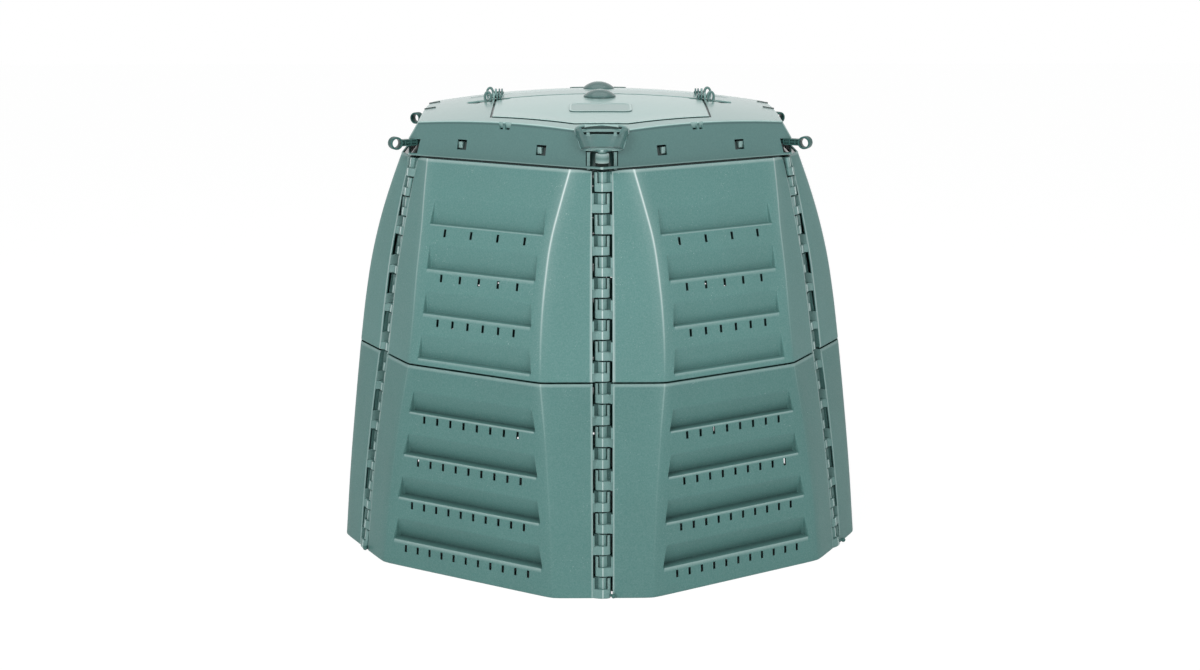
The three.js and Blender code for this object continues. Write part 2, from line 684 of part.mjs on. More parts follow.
// The side of a long rim that its wider hole is on: +1 along the tangent, 0 on the plain sides
const SIDES = [
  { name: "front_right", set: "right_of_apex", wide: -1 },
  { name: "right", set: "even", wide: 0 },
  { name: "rear_right", set: "left_of_apex", wide: 1 },
  { name: "rear_left", set: "right_of_apex", wide: -1 },
  { name: "left", set: "even", wide: 0 },
  { name: "front_left", set: "left_of_apex", wide: 1 },
];

const disc = (from, to, radius, sides) =>
  bar(new THREE.Vector3(from, -HINGE.y, HINGE.z), new THREE.Vector3(to, -HINGE.y, HINGE.z), radius, sides);
const mirroredPair = (make) => [1, -1].map(make);

function trough(side, grow) {
  const x0 = side * (TROUGH.inner - grow / 4);
  const x1 = side * (TROUGH.outer + grow);
  const y0 = -HINGE.y - TROUGH.half - grow;
  const y1 = -HINGE.y + TROUGH.half + grow;
  const outline = [[x0, y0], [x1, y0], [x1, y1], [x0, y1]];
  return prism(side > 0 ? outline : outline.reverse(), TROUGH.floor - grow, LID.topZ + OVER);
}

function lidFrame() {
  const outer = lidBody(0, LID.skirtZ);
  const shell = outer.subtract(lidBody(LID.skin, LID.skirtZ - OVER));
  const depth = SEAT_DROP + SEAT_SKIN;
  const underSeat = lidBody(depth, LID.skirtZ - OVER);
  const tall = [LID.skirtZ - OVER, LID.topZ + OVER];
  const seatBand = prism(flapPlan(FLAP_GAP + WALL, OPENING.hingeSide - WALL), ...tall);
  const opening = prism(flapPlan(FLAP_GAP, OPENING.hingeSide), ...tall);
  const seat = outer.subtract(underSeat).intersect(seatBand);
  const flapRoom = opening.subtract(lidBody(SEAT_DROP, LID.skirtZ - OVER));
  const low = LID.skirtZ + BRACKET.low;
  const brackets = Array.from({ length: SIX }, (_, i) =>
    block(i * STEP, [BRACKET.inner, BRACKET.outer], [-BRACKET.half, BRACKET.half], [low, LID.topZ]),
  );
  const ears = mirroredPair((side) => disc(side * FRAME_EAR[0], side * FRAME_EAR[1], HINGE.radius, EAR_SIDES));
  const troughs = mirroredPair((side) => trough(side, TROUGH.skin));
  const parts = [...both(seat), ...both(scoopBody(SCOOP.skin)), ...brackets, ...troughs.flatMap(both)];
  let body = join([shell, ...parts.map((part) => part.intersect(outer))]);
  body = cut(body, [...both(flapRoom), ...both(clearWay())]);
  body = join([body, ...ears.flatMap(both)]);
  const cuts = [...both(scoopBody(0)), ...mirroredPair((side) => trough(side, 0)).flatMap(both)];
  const earEnd = FRAME_EAR[1] + OVERRUN;
  cuts.push(...both(disc(-earEnd, earEnd, HINGE.shaft + RUN_GAP, HOLE_SIDES)), ...rimSlits().flatMap(both));
  const notch = [NOTCH.inner, LID.skirtReach + OVER];
  for (let i = 0; i < SIX; i++) {
    const corner = i * STEP;
    const { set, wide } = SIDES[i];
    const half = i % (SIX / 2) === 0 ? NOTCH.half : NOTCH.sideHalf;
    cuts.push(block(corner, notch, [-half, half], [LID.skirtZ + NOTCH.bar, NOTCH.top]));
    cuts.push(pinLine(corner, CORNER_PIN.shaft + RUN_GAP, BRACKET.inner - OVERRUN, NOTCH.inner));
    cuts.push(...windowCuts(corner + HALF_STEP, WINDOW_SETS[set]));
    if (wide) cuts.push(...rimHoles(corner + HALF_STEP, wide));
  }
  return cut(body, cuts);
}

// Flap: built for the front; the rear one is the same part turned round
function dome() {
  const height = deckZ(0, DOME.y) - DOME.sink;
  const sphere = (DOME.radius ** 2 + DOME.height ** 2) / (2 * DOME.height);
  const full = Math.asin(DOME.radius / sphere);
  const profile = [new THREE.Vector2(0, -DOME.sink), new THREE.Vector2(DOME.radius, -DOME.sink)];
  for (let i = 0; i <= DOME.rings; i++) {
    const angle = full * (1 - i / DOME.rings);
    profile.push(new THREE.Vector2(sphere * Math.sin(angle), sphere * (Math.cos(angle) - 1) + DOME.height));
  }
  profile[profile.length - 1].x = 0;
  const body = new THREE.LatheGeometry(profile, DOME.sides).rotateX(Math.PI / 2);
  return fromGeometry(body.translate(0, -DOME.y, height));
}

function roundedPlan() {
  const places = [];
  const corners = [[1, -1, -90], [1, 1, 0], [-1, 1, 90], [-1, -1, 180]];
  for (const [sx, sy, start] of corners) {
    for (const turn of [0, 45, 90]) {
      const angle = THREE.MathUtils.degToRad(start + turn);
      const x = sx * (PLATE.half - PLATE.corner) + PLATE.corner * Math.cos(angle);
      places.push([x, -PLATE.y + sy * (PLATE.deep - PLATE.corner) + PLATE.corner * Math.sin(angle)]);
    }
  }
  return places;
}

function tongue() {
  const back = OPENING.cut - TONGUE.past;
  const topAt = (y) => deckZ(0, y) - TONGUE.sunk;
  const points = [];
  for (const side of [-1, 1]) {
    const x = side * TONGUE.half;
    for (const y of [back, TONGUE.reach]) points.push([x, -y, topAt(y)], [x, -y, topAt(y) - TONGUE.thick]);
  }
  const lip = prism(
    [
      [-TONGUE.half, -TONGUE.reach],
      [TONGUE.half, -TONGUE.reach],
      [TONGUE.half, -TONGUE.reach + TONGUE.lip],
      [-TONGUE.half, -TONGUE.reach + TONGUE.lip],
    ],
    TONGUE.low,
    topAt(TONGUE.reach) - TONGUE.sunk,
  );
  return hull(points.map((p) => new THREE.Vector3(...p))).add(lip);
}

function flap() {
  const tall = [LID.skirtZ, LID.topZ + OVER];
  const plan = prism(flapPlan(-FLAP_GAP, FLAP_BACK), ...tall);
  const plate = lidBody(0, LID.skirtZ).subtract(lidBody(LID.skin, LID.skirtZ - OVER)).intersect(plan);
  const raised = lidBody(-PLATE.rise, LID.skirtZ).subtract(lidBody(LID.skin / 2, LID.skirtZ - OVER));
  const pad = raised.intersect(prism(roundedPlan(), ...tall));
  const ears = mirroredPair((side) =>
    FLAP_EARS.map(([from, to]) => disc(side * from, side * to, HINGE.radius, EAR_SIDES)),
  );
  const body = join([plate, pad, dome(), tongue(), ...ears.flat()]);
  return body.subtract(disc(-OPENING.side, OPENING.side, HINGE.shaft + RUN_GAP, HOLE_SIDES));
}

// Ring pins: a shaft and a ring, made along +X. The ring lies flat, or is turned upright with its hole level.
// A corner pin has a thicker stem next to its ring
function ringPin(inner, shaft, at, ring, turn, stem) {
  const outline = (grow) => {
    const curve = new THREE.EllipseCurve(0, 0, ring.long + grow, ring.tall + grow);
    return new THREE.Shape(curve.getPoints(RING_SIDES).slice(0, -1));
  };
  const shape = outline(0);
  shape.holes.push(outline(-ring.bar));
  const band = new THREE.ExtrudeGeometry(shape, { depth: ring.wide, bevelEnabled: false });
  band.translate(0, 0, -ring.wide / 2).rotateX(turn).translate(at, 0, 0);
  const from = new THREE.Vector3(inner, 0, 0);
  const to = new THREE.Vector3(at - ring.long + ring.bar / 2, 0, 0);
  const pieces = [fromGeometry(band), bar(from, to, shaft, HOLE_SIDES)];
  if (stem) pieces.push(bar(new THREE.Vector3(at - stem.long, 0, 0), to, stem.radius, HOLE_SIDES));
  return join(pieces);
}

// Materials
const COLOURS = {
  lower_wall: "#5F8882",
  upper_wall: "#6B9590",
  lid: "#78A09A",
  rod: "#2F4F4A",
  pin: "#4E7A74",
};
const plastic = (colour) => new THREE.MeshStandardMaterial({ color: colour, roughness: 0.42, metalness: 0 });

const root = new THREE.Group();
root.name = "compost_bin";

function meshOf(name, solid, colour, angle = 0) {
  const { numProp, vertProperties, triVerts } = solid.getMesh();
  const array = new Float32Array(vertProperties);
  const geometry = new THREE.BufferGeometry();
  geometry.setAttribute("position", new THREE.BufferAttribute(array, numProp));
  geometry.setIndex(new THREE.BufferAttribute(new Uint32Array(triVerts), 1));
  geometry.computeVertexNormals();
  const mesh = new THREE.Mesh(geometry, plastic(colour));
  mesh.name = name;
  mesh.rotation.z = angle;
  root.add(mesh);
  return mesh;
}

const lower = lowerPanel();
const uppers = Object.fromEntries(
  Object.entries(WINDOW_SETS).map(([name, places]) => [name, upperPanel(places)]),
);
SIDES.forEach(({ name, set }, i) => {
  meshOf("lower_panel_" + name, lower, COLOURS.lower_wall, i * STEP);
  meshOf("upper_panel_" + name, uppers[set], COLOURS.upper_wall, i * STEP);
});

const CORNERS = ["front", "front_right", "rear_right", "rear", "rear_left", "front_left"];
const rod = hingeRod();
const stem = { radius: CORNER_PIN.stem, long: CORNER_PIN.stemLong };
const cornerPins = [0, Math.PI / 2].map((turn) =>
  ringPin(CORNER_PIN.inner, CORNER_PIN.shaft, CORNER_PIN.ringAt, CORNER_RING, turn, stem),
);
CORNERS.forEach((name, i) => {
  meshOf("hinge_rod_" + name, rod, COLOURS.rod, i * STEP);
  const [flat, upright] = cornerPins;
  const body = i % (SIX / 2) === 0 ? flat : upright;
  const pin = meshOf("corner_pin_" + name, body, COLOURS.pin, i * STEP - Math.PI / 2);
  pin.position.z = CORNER_PIN.z;
});

meshOf("lid_frame", lidFrame(), COLOURS.lid);
const flapBody = flap();
meshOf("flap_front", flapBody, COLOURS.lid);
meshOf("flap_rear", flapBody, COLOURS.lid, Math.PI);

const flapPin = ringPin(FLAP_PIN.inner, HINGE.shaft, FLAP_PIN.ringAt, FLAP_RING, Math.PI / 2);
for (const [name, sign, angle] of [
  ["front_right", -1, 0],
  ["front_left", -1, Math.PI],
  ["rear_right", 1, 0],
  ["rear_left", 1, Math.PI],
]) {
  const pin = meshOf("flap_pin_" + name, flapPin, COLOURS.pin, angle);
  pin.position.set(0, sign * HINGE.y, HINGE.z);
}

export default root;
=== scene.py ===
import math

import bpy
import numpy as np
from bpy.props import FloatProperty, FloatVectorProperty, PointerProperty
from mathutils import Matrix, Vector


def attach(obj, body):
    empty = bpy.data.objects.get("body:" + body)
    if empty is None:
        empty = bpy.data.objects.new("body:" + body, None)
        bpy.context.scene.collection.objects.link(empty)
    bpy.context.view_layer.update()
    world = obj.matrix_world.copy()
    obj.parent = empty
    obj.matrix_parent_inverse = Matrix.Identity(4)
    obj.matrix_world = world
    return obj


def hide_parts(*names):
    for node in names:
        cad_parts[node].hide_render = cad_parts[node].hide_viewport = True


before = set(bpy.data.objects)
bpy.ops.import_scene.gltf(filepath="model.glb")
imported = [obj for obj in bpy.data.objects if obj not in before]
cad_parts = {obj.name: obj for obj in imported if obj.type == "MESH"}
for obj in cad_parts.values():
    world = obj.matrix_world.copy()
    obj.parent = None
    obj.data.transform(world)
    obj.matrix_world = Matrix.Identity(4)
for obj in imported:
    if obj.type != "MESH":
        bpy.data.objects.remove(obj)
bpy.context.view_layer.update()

bl_info = {
    "name": "Compost bin with lid",
    "version": (1, 0, 0),
    "blender": (4, 5, 0),
    "location": "View3D > Sidebar > Compost bin",
    "description": "Dressed pieces of a six-sided louvred compost bin with two lid flaps",
    "category": "Object",
}

BODY = "bin"
MM = 0.001
STEP = math.radians(60)
HALF = STEP / 2
COS30 = math.cos(HALF)
TAN30 = math.tan(HALF)
SIDES = ("front_right", "right", "rear_right", "rear_left", "left", "front_left")
CORNERS = ("front", "front_right", "rear_right", "rear", "rear_left", "front_left")

# All sizes are in millimetres, the same as in the imported model. The painted light and shade is above 0
# where a highlight or reflection is painted, up to 1, and below 0 where shade is painted, down to -1.
# Levels of the walls: height, distance to a corner facet, half width of that facet.
LOWER_LEVELS = np.array([[0, 615.5, 105.8], [154, 598.5, 110.5], [344, 571, 121], [446, 553.6, 129.3]])
UPPER_LEVELS = np.array([
    [446, 553.6, 129.3], [551, 538.5, 126.5], [643.8, 523.5, 118.5],
    [740, 502.5, 104], [805, 487, 86.5], [873, 468.5, 66.5],
])
# Louvres: ledge height, rise, half width at the top and at the ledge, depth,
# slots, half the span of the outer two, how far their middle is below the ledge.
LOWER_LOUVRES = (
    (58.6, 48, 178, 188.5, 26, 11, 156, 17.2),
    (154, 47, 170, 179, 26, 10, 142.3, 14.5),
    (249.5, 46, 158, 168, 24, 9, 129.8, 14),
    (344, 45.5, 147.5, 158, 21, 8, 117.5, 13),
)
UPPER_LOUVRES = (
    (462, 51, 134, 141, 18, 0, 0, 0),
    (558, 47.5, 130, 134.5, 17, 6, 95, 16.7),
    (651.5, 52, 133, 134.5, 17, 5, 94.6, 16.1),
    (744, 51, 137, 140.5, 14, 4, 99, 16),
)
# The two rows of panels. By height: the crease's rounding and the strength of its painted highlight. Then how
# far the columns of the crease run out, painted highlight on the ledges' lips, painted shade above the
# ledges, and dip of the top edge at a corner.
ROWS = {
    "lower": {
        "levels": LOWER_LEVELS, "louvres": LOWER_LOUVRES, "low": 0.0, "high": 444.6,
        "rounding": ([0, 300, 446], [9, 8, 6]), "painted_light": ([0, 330, 446], [0.0, 0.1, 0.35]),
        "soft": 22.0, "lip": 0.42, "shade": 0.62, "dip": 0.0,
    },
    "upper": {
        "levels": UPPER_LEVELS, "louvres": UPPER_LOUVRES, "low": 447.4, "high": 876.1,
        "rounding": ([446, 600, 873], [6, 4, 2.4]),
        "painted_light": ([446, 500, 640, 780, 873], [0.0, 0.15, 0.6, 0.85, 1.0]),
        "soft": 9.0, "lip": 0.22, "shade": 0.3, "dip": 4.5,
    },
}
# How much of the painted highlight shows on the two creases beside each corner
CREASE_HIGHLIGHT_SHARES = (1.0, 0.5, 0.5, 1.0, 0.5, 0.5)
WALL = 4
# From a hinge rod's axis to the side edge of a panel
CORNER_OPEN = 21
# How far the painted shade at a slot's edge runs out
SLOT_EDGE = 0.3
# Height between the rows that keep a wall's curve smooth
SMOOTH_STEP = 14.7
# A hinge rod's axis: its distance from the middle at the ground, and its lean
AXIS_FOOT = 602
AXIS_LEAN = 0.1607
FINGERS = 10
# Share of a finger's height that is solid, below its window
BAND_SHARE = 0.44


# Shapes


def place(azimuth, out, along, z):
    """Points from their distance out along an azimuth, their distance along the tangent and their height."""
    s, c = np.sin(azimuth), np.cos(azimuth)
    out, along, z = np.broadcast_arrays(out, along, z)
    return np.stack([s * out + c * along, s * along - c * out, z], axis=-1).astype(float)


def smooth_level(z, levels, column):
    """A column of the levels at a height: cubic curves through the levels, with one slope at each of them."""
    at, value = levels[:, 0], levels[:, column]
    slope = np.gradient(value, at)
    i = np.clip(np.searchsorted(at, z, side="right") - 1, 0, len(at) - 2)
    wide = at[i + 1] - at[i]
    u = np.clip((z - at[i]) / wide, 0, 1)
    return (
        value[i] * (1 + 2 * u) * (1 - u) ** 2 + value[i + 1] * u * u * (3 - 2 * u)
        + wide * u * (1 - u) * (slope[i] * (1 - u) - slope[i + 1] * u)
    )


def axis_reach(z):
    """Distance of a hinge rod's axis from the middle: it comes nearer by a fixed share of the height."""
    return AXIS_FOOT - AXIS_LEAN * z


def grid_quads(rows, cols, closed=False, keep=None):
    """Corner numbers of the quads between neighbouring rows and columns of a grid of points."""
    r = np.arange(rows - 1)[:, None]
    c = np.arange(cols if closed else cols - 1)[None, :]
    n = (c + 1) % cols
    corners = (r * cols + c, r * cols + n, (r + 1) * cols + n, (r + 1) * cols + c)
    quads = np.stack(np.broadcast_arrays(*corners), -1)
    return quads[keep] if keep is not None else quads.reshape(-1, 4)


def make_mesh(name, parts, light_and_shade=None):
    """One mesh from (points in mm, list of face arrays) parts, with optional painted light and shade per
    point.
    """
    points = [p.reshape(-1, 3) for p, _ in parts]
    faces, base = [], 0
    for (_, groups), own in zip(parts, points):
        for group in groups:
            faces.extend((np.asarray(group) + base).tolist())
        base += len(own)
    mesh = bpy.data.meshes.new(name)
    mesh.from_pydata(np.concatenate(points) * MM, [], faces)
    mesh.update()
    if light_and_shade is not None:
        layer = mesh.attributes.new("light_and_shade", "FLOAT", "POINT")
        layer.data.foreach_set("value", np.concatenate([np.ravel(w) for w in light_and_shade]).astype(np.float32))
    return mesh


def add_piece(name, mesh, finish, body, nodes=(), sharp=32.0, solid=0.0):
    """An object at the origin with the mesh, its material and its body. A wall may be made solid inwards."""
    mesh.materials.clear()
    mesh.materials.append(finish)
    mesh.shade_smooth()
    mesh.set_sharp_from_angle(angle=math.radians(sharp))
    piece = bpy.data.objects.new(name, mesh)
    bpy.context.scene.collection.objects.link(piece)
    if solid:
        wall = piece.modifiers.new("wall", "SOLIDIFY")
        wall.thickness = solid
        wall.offset = -1
        wall.use_rim = True
    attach(piece, body)
    if nodes:
        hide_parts(*nodes)
    return piece


def soften(piece, width):
    """Round the sharp edges of a piece with a small bevel."""
    bevel = piece.modifiers.new("rounded_edges", "BEVEL")
    bevel.width = width
    bevel.segments = 2
    bevel.limit_method = "ANGLE"
    bevel.angle_limit = math.radians(40)
    bevel.harden_normals = False


def evenly_painted(forms, light_and_shade):
    """Each form with one value of painted light and shade, the same at all its points."""
    return [(form, np.full(form[0].shape[:2], light_and_shade)) for form in forms]


def closed_loft(rings):
    """A closed solid through rings of points, with a flat face at each end."""
    rings = np.asarray(rings, float)
    rows, cols = rings.shape[:2]
    ends = [np.arange(cols)[None, ::-1], (rows - 1) * cols + np.arange(cols)[None, :]]
    return rings, [grid_quads(rows, cols, closed=True), *ends]


def closed_band(rows):
    """A form from a grid that meets itself both ways: the last row joins the first, and so do the columns."""
    count, cols = rows.shape[:2]
    seam = grid_quads(2, cols, closed=True)
    seam = np.where(seam >= cols, seam - cols, seam + (count - 1) * cols)
    return rows, [grid_quads(count, cols, closed=True), seam]


def tube(path, radii, sides=14):
    """A tube along a path. Each ring is square to the path, with a fixed side direction carried along it."""
    path = np.asarray(path, float)
    radii = np.broadcast_to(radii, len(path)).astype(float)
    along = np.gradient(path, axis=0)
    along /= np.linalg.norm(along, axis=1, keepdims=True)
    side = np.empty_like(along)
    first = np.cross(along[0], [0, 0, 1.0] if abs(along[0][2]) < 0.9 else [1.0, 0, 0])
    for i, a in enumerate(along):
        first = first - a * np.dot(first, a)
        first /= np.linalg.norm(first)
        side[i] = first
    other = np.cross(along, side)
    turn = np.linspace(0, 2 * np.pi, sides, endpoint=False)
    ring = np.cos(turn)[None, :, None] * side[:, None] + np.sin(turn)[None, :, None] * other[:, None]
    return closed_loft(path[:, None] + radii[:, None, None] * ring)


# Materials


def linear(code):
    """A colour written as sRGB hex, as linear RGBA."""
    values = [int(code[i : i + 2], 16) / 255 for i in (1, 3, 5)]
    return (*[v / 12.92 if v <= 0.04045 else ((v + 0.055) / 1.055) ** 2.4 for v in values], 1.0)


def add_node(tree, kind, links=(), **settings):
    """A node with its settings: input values by their name with in_ before it, and links to its inputs."""
    node = tree.nodes.new(kind)
    for key, value in settings.items():
        if not key.startswith("in_"):
            setattr(node, key, value)
    for key, value in settings.items():
        if key.startswith("in_"):
            name = key[3:]
            socket = node.inputs[int(name)] if name.isdigit() else node.inputs[name.replace("_", " ")]
            socket.default_value = value
    for name, source in links:
        tree.links.new(source, node.inputs[name])
    return node


def moulded_plastic(name, base, light, dark, roughness, mottle, grain, specks, patches=0.04, gloss=0.12):
    """Injection-moulded polypropylene with a spark-eroded mould texture.

    The colour drifts by a few percent over a hand's width where the melt flowed. Where the painted light and
    shade is above 0, a highlight or reflection is painted in the pale colour; below 0, shade is painted in a
    near-black green. The mould's grain is about 0.3 mm, too fine to show at this distance, so it is drawn at
    about 3 mm. Pale scuffs of 2 mm lie in patches.
    """
    material = bpy.data.materials.new(name)
    material.use_nodes = True
    tree = material.node_tree
    tree.nodes.clear()
    where = add_node(tree, "ShaderNodeTexCoord").outputs["Object"]

    def noise(size, detail, rough):
        return add_node(
            tree, "ShaderNodeTexNoise", [("Vector", where)],
            in_Scale=1 / size, in_Detail=detail, in_Roughness=rough,
        ).outputs["Fac"]

    def between(source, low, high, start, end):
        return add_node(
            tree, "ShaderNodeMapRange", [("Value", source)], in_1=low, in_2=high, in_3=start, in_4=end,
        ).outputs["Result"]

    def blend(factor, below, colour):
        mix = add_node(tree, "ShaderNodeMix", [("Factor", factor)], data_type="RGBA", in_7=linear(colour))
        if isinstance(below, str):
            mix.inputs[6].default_value = linear(below)
        else:
            tree.links.new(below, mix.inputs[6])
        return mix.outputs[2]

    flow, patch, fleck = noise(0.16, 3.0, 0.5), noise(0.05, 3.0, 0.6), noise(0.0028, 2.0, 0.5)
    scuff = noise(0.0022, 1.0, 0.5)
    colour = blend(between(flow, 0.35, 0.7, 0.0, mottle), base, dark)
    colour = blend(between(fleck, 0.35, 0.8, 0.0, grain), colour, light)
    patchy = add_node(
        tree, "ShaderNodeMath",
        [(0, between(scuff, 0.68, 0.76, 0.0, specks)), (1, between(patch, 0.5, 0.68, 0.0, 1.0))],
        operation="MULTIPLY",
    )
    colour = blend(patchy.outputs[0], colour, "#E4F0EE")
    light_and_shade = add_node(tree, "ShaderNodeAttribute", attribute_name="light_and_shade").outputs["Fac"]
    # painted highlights and reflections in the pale colour, and painted shade in #10201E
    colour = blend(between(light_and_shade, 0.0, 1.0, 0.0, 0.85), colour, light)
    colour = blend(between(light_and_shade, 0.0, -1.0, 0.0, 0.9), colour, "#10201E")
    bump = add_node(tree, "ShaderNodeBump", [("Height", fleck)], in_Strength=patches * 6, in_Distance=0.0004)
    rough = between(patch, 0.3, 0.7, roughness - patches, roughness + patches)
    shader = add_node(
        tree, "ShaderNodeBsdfPrincipled",
        [("Base Color", colour), ("Roughness", rough), ("Normal", bump.outputs["Normal"])],
        in_IOR=1.49, in_Specular_IOR_Level=gloss,
    )
    add_node(tree, "ShaderNodeOutputMaterial", [("Surface", shader.outputs[0])])
    return material


# The finishes, after the colours of the same name: name of the material, pale colour of the grain and of the
# painted highlights and reflections, dull colour, roughness, drift of the colour, grain and scuffs. The lid
# is glossier and has hardly any patches.
FINISHES = {
    "lower_wall": ("moulded_polypropylene_lower_wall", "#C4D8D5", "#527874", 0.40, 0.35, 0.10, 0.3),
    "upper_wall": ("moulded_polypropylene_upper_wall", "#DCEBE9", "#5C8480", 0.38, 0.35, 0.08, 0.45),
    "lid": ("moulded_polypropylene_lid", "#C6E6E1", "#4F7874", 0.22, 0.15, 0.04, 0.0, 0.005, 0.5),
    "rod": ("moulded_polyethylene_rod", "#A9C7C3", "#2A4A45", 0.30, 0.1, 0.05, 0.0),
    "pin": ("moulded_polypropylene_pin", "#CFE2E0", "#3C635E", 0.28, 0.2, 0.05, 0.0),
}
MADE = {}


def material(kind):
    """The finish of that name, made once."""
    if kind not in MADE:
        name, *looks = FINISHES[kind]
        MADE[kind] = moulded_plastic(name, hex_of(getattr(bpy.context.scene.bin_colours, kind)), *looks)
    return MADE[kind]


def hex_of(colour):
    """The sRGB hex code of a colour property, which holds sRGB shares."""
    return "#" + "".join(f"{round(255 * v):02X}" for v in colour)


def shares(code):
    """The sRGB shares of a hex code, for the default of a colour property."""
    return tuple(int(code[i : i + 2], 16) / 255 for i in (1, 3, 5))


# Settings


def plastic_colour(label, what, code):
    """A colour setting, with its default as a hex code."""
    return FloatVectorProperty(
        name=label, description=f"Colour of {what}", default=shares(code), subtype="COLOR_GAMMA",
        min=0, max=1,
    )


class BinColours(bpy.types.PropertyGroup):
    """Colours of the moulded pieces, as sRGB."""

    lower_wall: plastic_colour("Lower wall", "the lower panels", "#57827E")
    # A little paler than the lower wall: painted light, for the light that falls from above
    upper_wall: plastic_colour("Upper wall", "the upper panels", "#5D8A86")
    lid: plastic_colour("Lid", "the lid and its flaps", "#537B78")
    rod: plastic_colour("Rods", "the hinge rods", "#4A716D")
    pin: plastic_colour("Pins", "the ring pins", "#3D6B66")


class BinSizes(bpy.types.PropertyGroup):
    """Sizes of the fine forms, in metres."""

    wall: FloatProperty(
        name="Wall", description="Thickness of the panels", default=WALL * MM, unit="LENGTH",
        min=0.001, max=0.01,
    )
    slot_wide: FloatProperty(
        name="Slot width", description="Width of a vent slot", default=0.0056, unit="LENGTH",
        min=0.001, max=0.01,
    )
    slot_tall: FloatProperty(
        name="Slot height", description="Height of a vent slot", default=0.0155, unit="LENGTH",
        min=0.005, max=0.02,
    )
    finger_gap: FloatProperty(
        name="Finger gap", description="Gap between two hinge fingers", default=0.0034, unit="LENGTH",
        min=0.001, max=0.006,
    )
    rod: FloatProperty(
        name="Rod radius", description="Radius of a hinge rod", default=0.004, unit="LENGTH",
        min=0.002, max=0.006,
    )


# Walls


def wall_lines(row, slot_tall):
    """Heights of a panel's rows and the depth of its louvres on each, as two arrays in millimetres.

    A louvre is a wedge: its depth is greatest at the ledge and falls evenly to nothing at its top. The
    ledge's outer and inner edges and the top edge are rounded over a few rows.
    """
    low, high = row["low"], row["high"]
    lines = [(low + up, 0) for up in (0, 1.2, 4, 8)] + [(high - down, 0) for down in (8, 4, 1.2, 0)]
    for ledge, rise, _, _, depth, slots, _, below in row["louvres"]:
        lines += [
            (ledge - 1.8, 0), (ledge - 0.9, 0.15), (ledge - 0.3, 0.6), (ledge, 1.5),
            (ledge + 0.5, depth - 2.6), (ledge + 1.0, depth - 0.9),
            (ledge + 2.4, depth * (1 - 2.4 / rise) - 0.1), (ledge + 4.5, depth * (1 - 4.5 / rise)),
            (ledge + rise * 0.3, depth * 0.7), (ledge + rise * 0.6, depth * 0.4),
            (ledge + rise - 3, depth * 3 / rise), (ledge + rise, 0.35), (ledge + rise + 3, 0),
        ]
        if slots:
            middle = ledge - below
            ends = [slot_tall / 2 + more for more in (0, SLOT_EDGE)]
            lines += [(middle + part * end, 0) for part in (-1, 1) for end in ends]
            lines.append((middle, 0))
    z, depth = np.array(sorted(lines), float).T
    more = np.setdiff1d(np.arange(low + 14.3, high - 9, SMOOTH_STEP), z)
    order = np.argsort(np.concatenate([z, more]))
    return np.concatenate([z, more])[order], np.concatenate([depth, np.interp(more, z, depth)])[order]


def border_of(z, row):
    """Half width of the louvred field at each height: straight from foot to top of each louvre, and between.
    It stays the same beside a row of slots, so that they stand upright."""
    heights, halves = [row["low"]], [row["louvres"][0][3] + 2]
    for ledge, rise, top, foot, _, slots, _, below in row["louvres"]:
        if slots:
            heights += [ledge - below - 8, ledge - below + 8]
            halves += [foot + 1, foot + 1]
        heights += [ledge, ledge + rise]
        halves += [foot, top]
    heights.append(row["high"])
    halves.append(halves[-1])
    return np.interp(z, heights, halves)


def slot_rows(row, slot_wide):
    """Each row of slots as its height, the slots' places and half their width, both as shares of the border.
    With them the shares at which columns run along the slots' edges."""
    slots, columns = [], []
    for ledge, _, _, _, _, count, span, below in row["louvres"]:
        if not count:
            continue
        middle = ledge - below
        at = np.linspace(-span, span, count)
        border = float(border_of(np.array([middle]), row)[0])
        slots.append((middle, at / border, slot_wide / 2 / border))
        for more in (0, SLOT_EDGE):
            columns += [abs(a + side * (slot_wide / 2 + more)) / border for a in at for side in (-1, 1)]
    return slots, columns


def wall_columns(columns, border, face_half, edge, soft):
    """Places across of a panel's columns on each row, and the share of the louvres' depth that each takes.

    They divide the border, run close along it, divide the gap to the crease, run close along that, and
    divide the wing. The left half repeats the right one.
    """
    inner = np.unique(np.round([0.0, 0.12, 0.3, 0.45, 0.6, 0.75, 0.9, *columns], 5))
    inner = inner[inner < 0.985]
    cols = [share * border for share in inner]
    cols += [border + shift for shift in (-2.4, -1.0, -0.2, 0.5, 2.0)]
    start = border + 2.0
    near = np.maximum(face_half - soft, start + 2)
    cols += [start + share * (near - start) for share in (0.35, 0.7, 1.0)]
    past = (-0.55 * soft, -2.6, -1.4, -0.6, 0.0, 0.6, 1.4, 2.6, 0.55 * soft, soft)
    cols += [face_half + shift for shift in past]
    wing = edge - face_half - soft
    cols += [face_half + soft + share * wing for share in (0.15, 0.4, 0.7, 0.93, 0.985, 1.0)]
    carved = np.zeros(len(cols))
    carved[:len(inner) + 4] = 1
    carved[len(inner) + 1:len(inner) + 4] = (0.9, 0.55, 0.12)
    right = np.stack(cols, 1)
    return np.concatenate([-right[:, :0:-1], right], 1), np.concatenate([carved[:0:-1], carved])


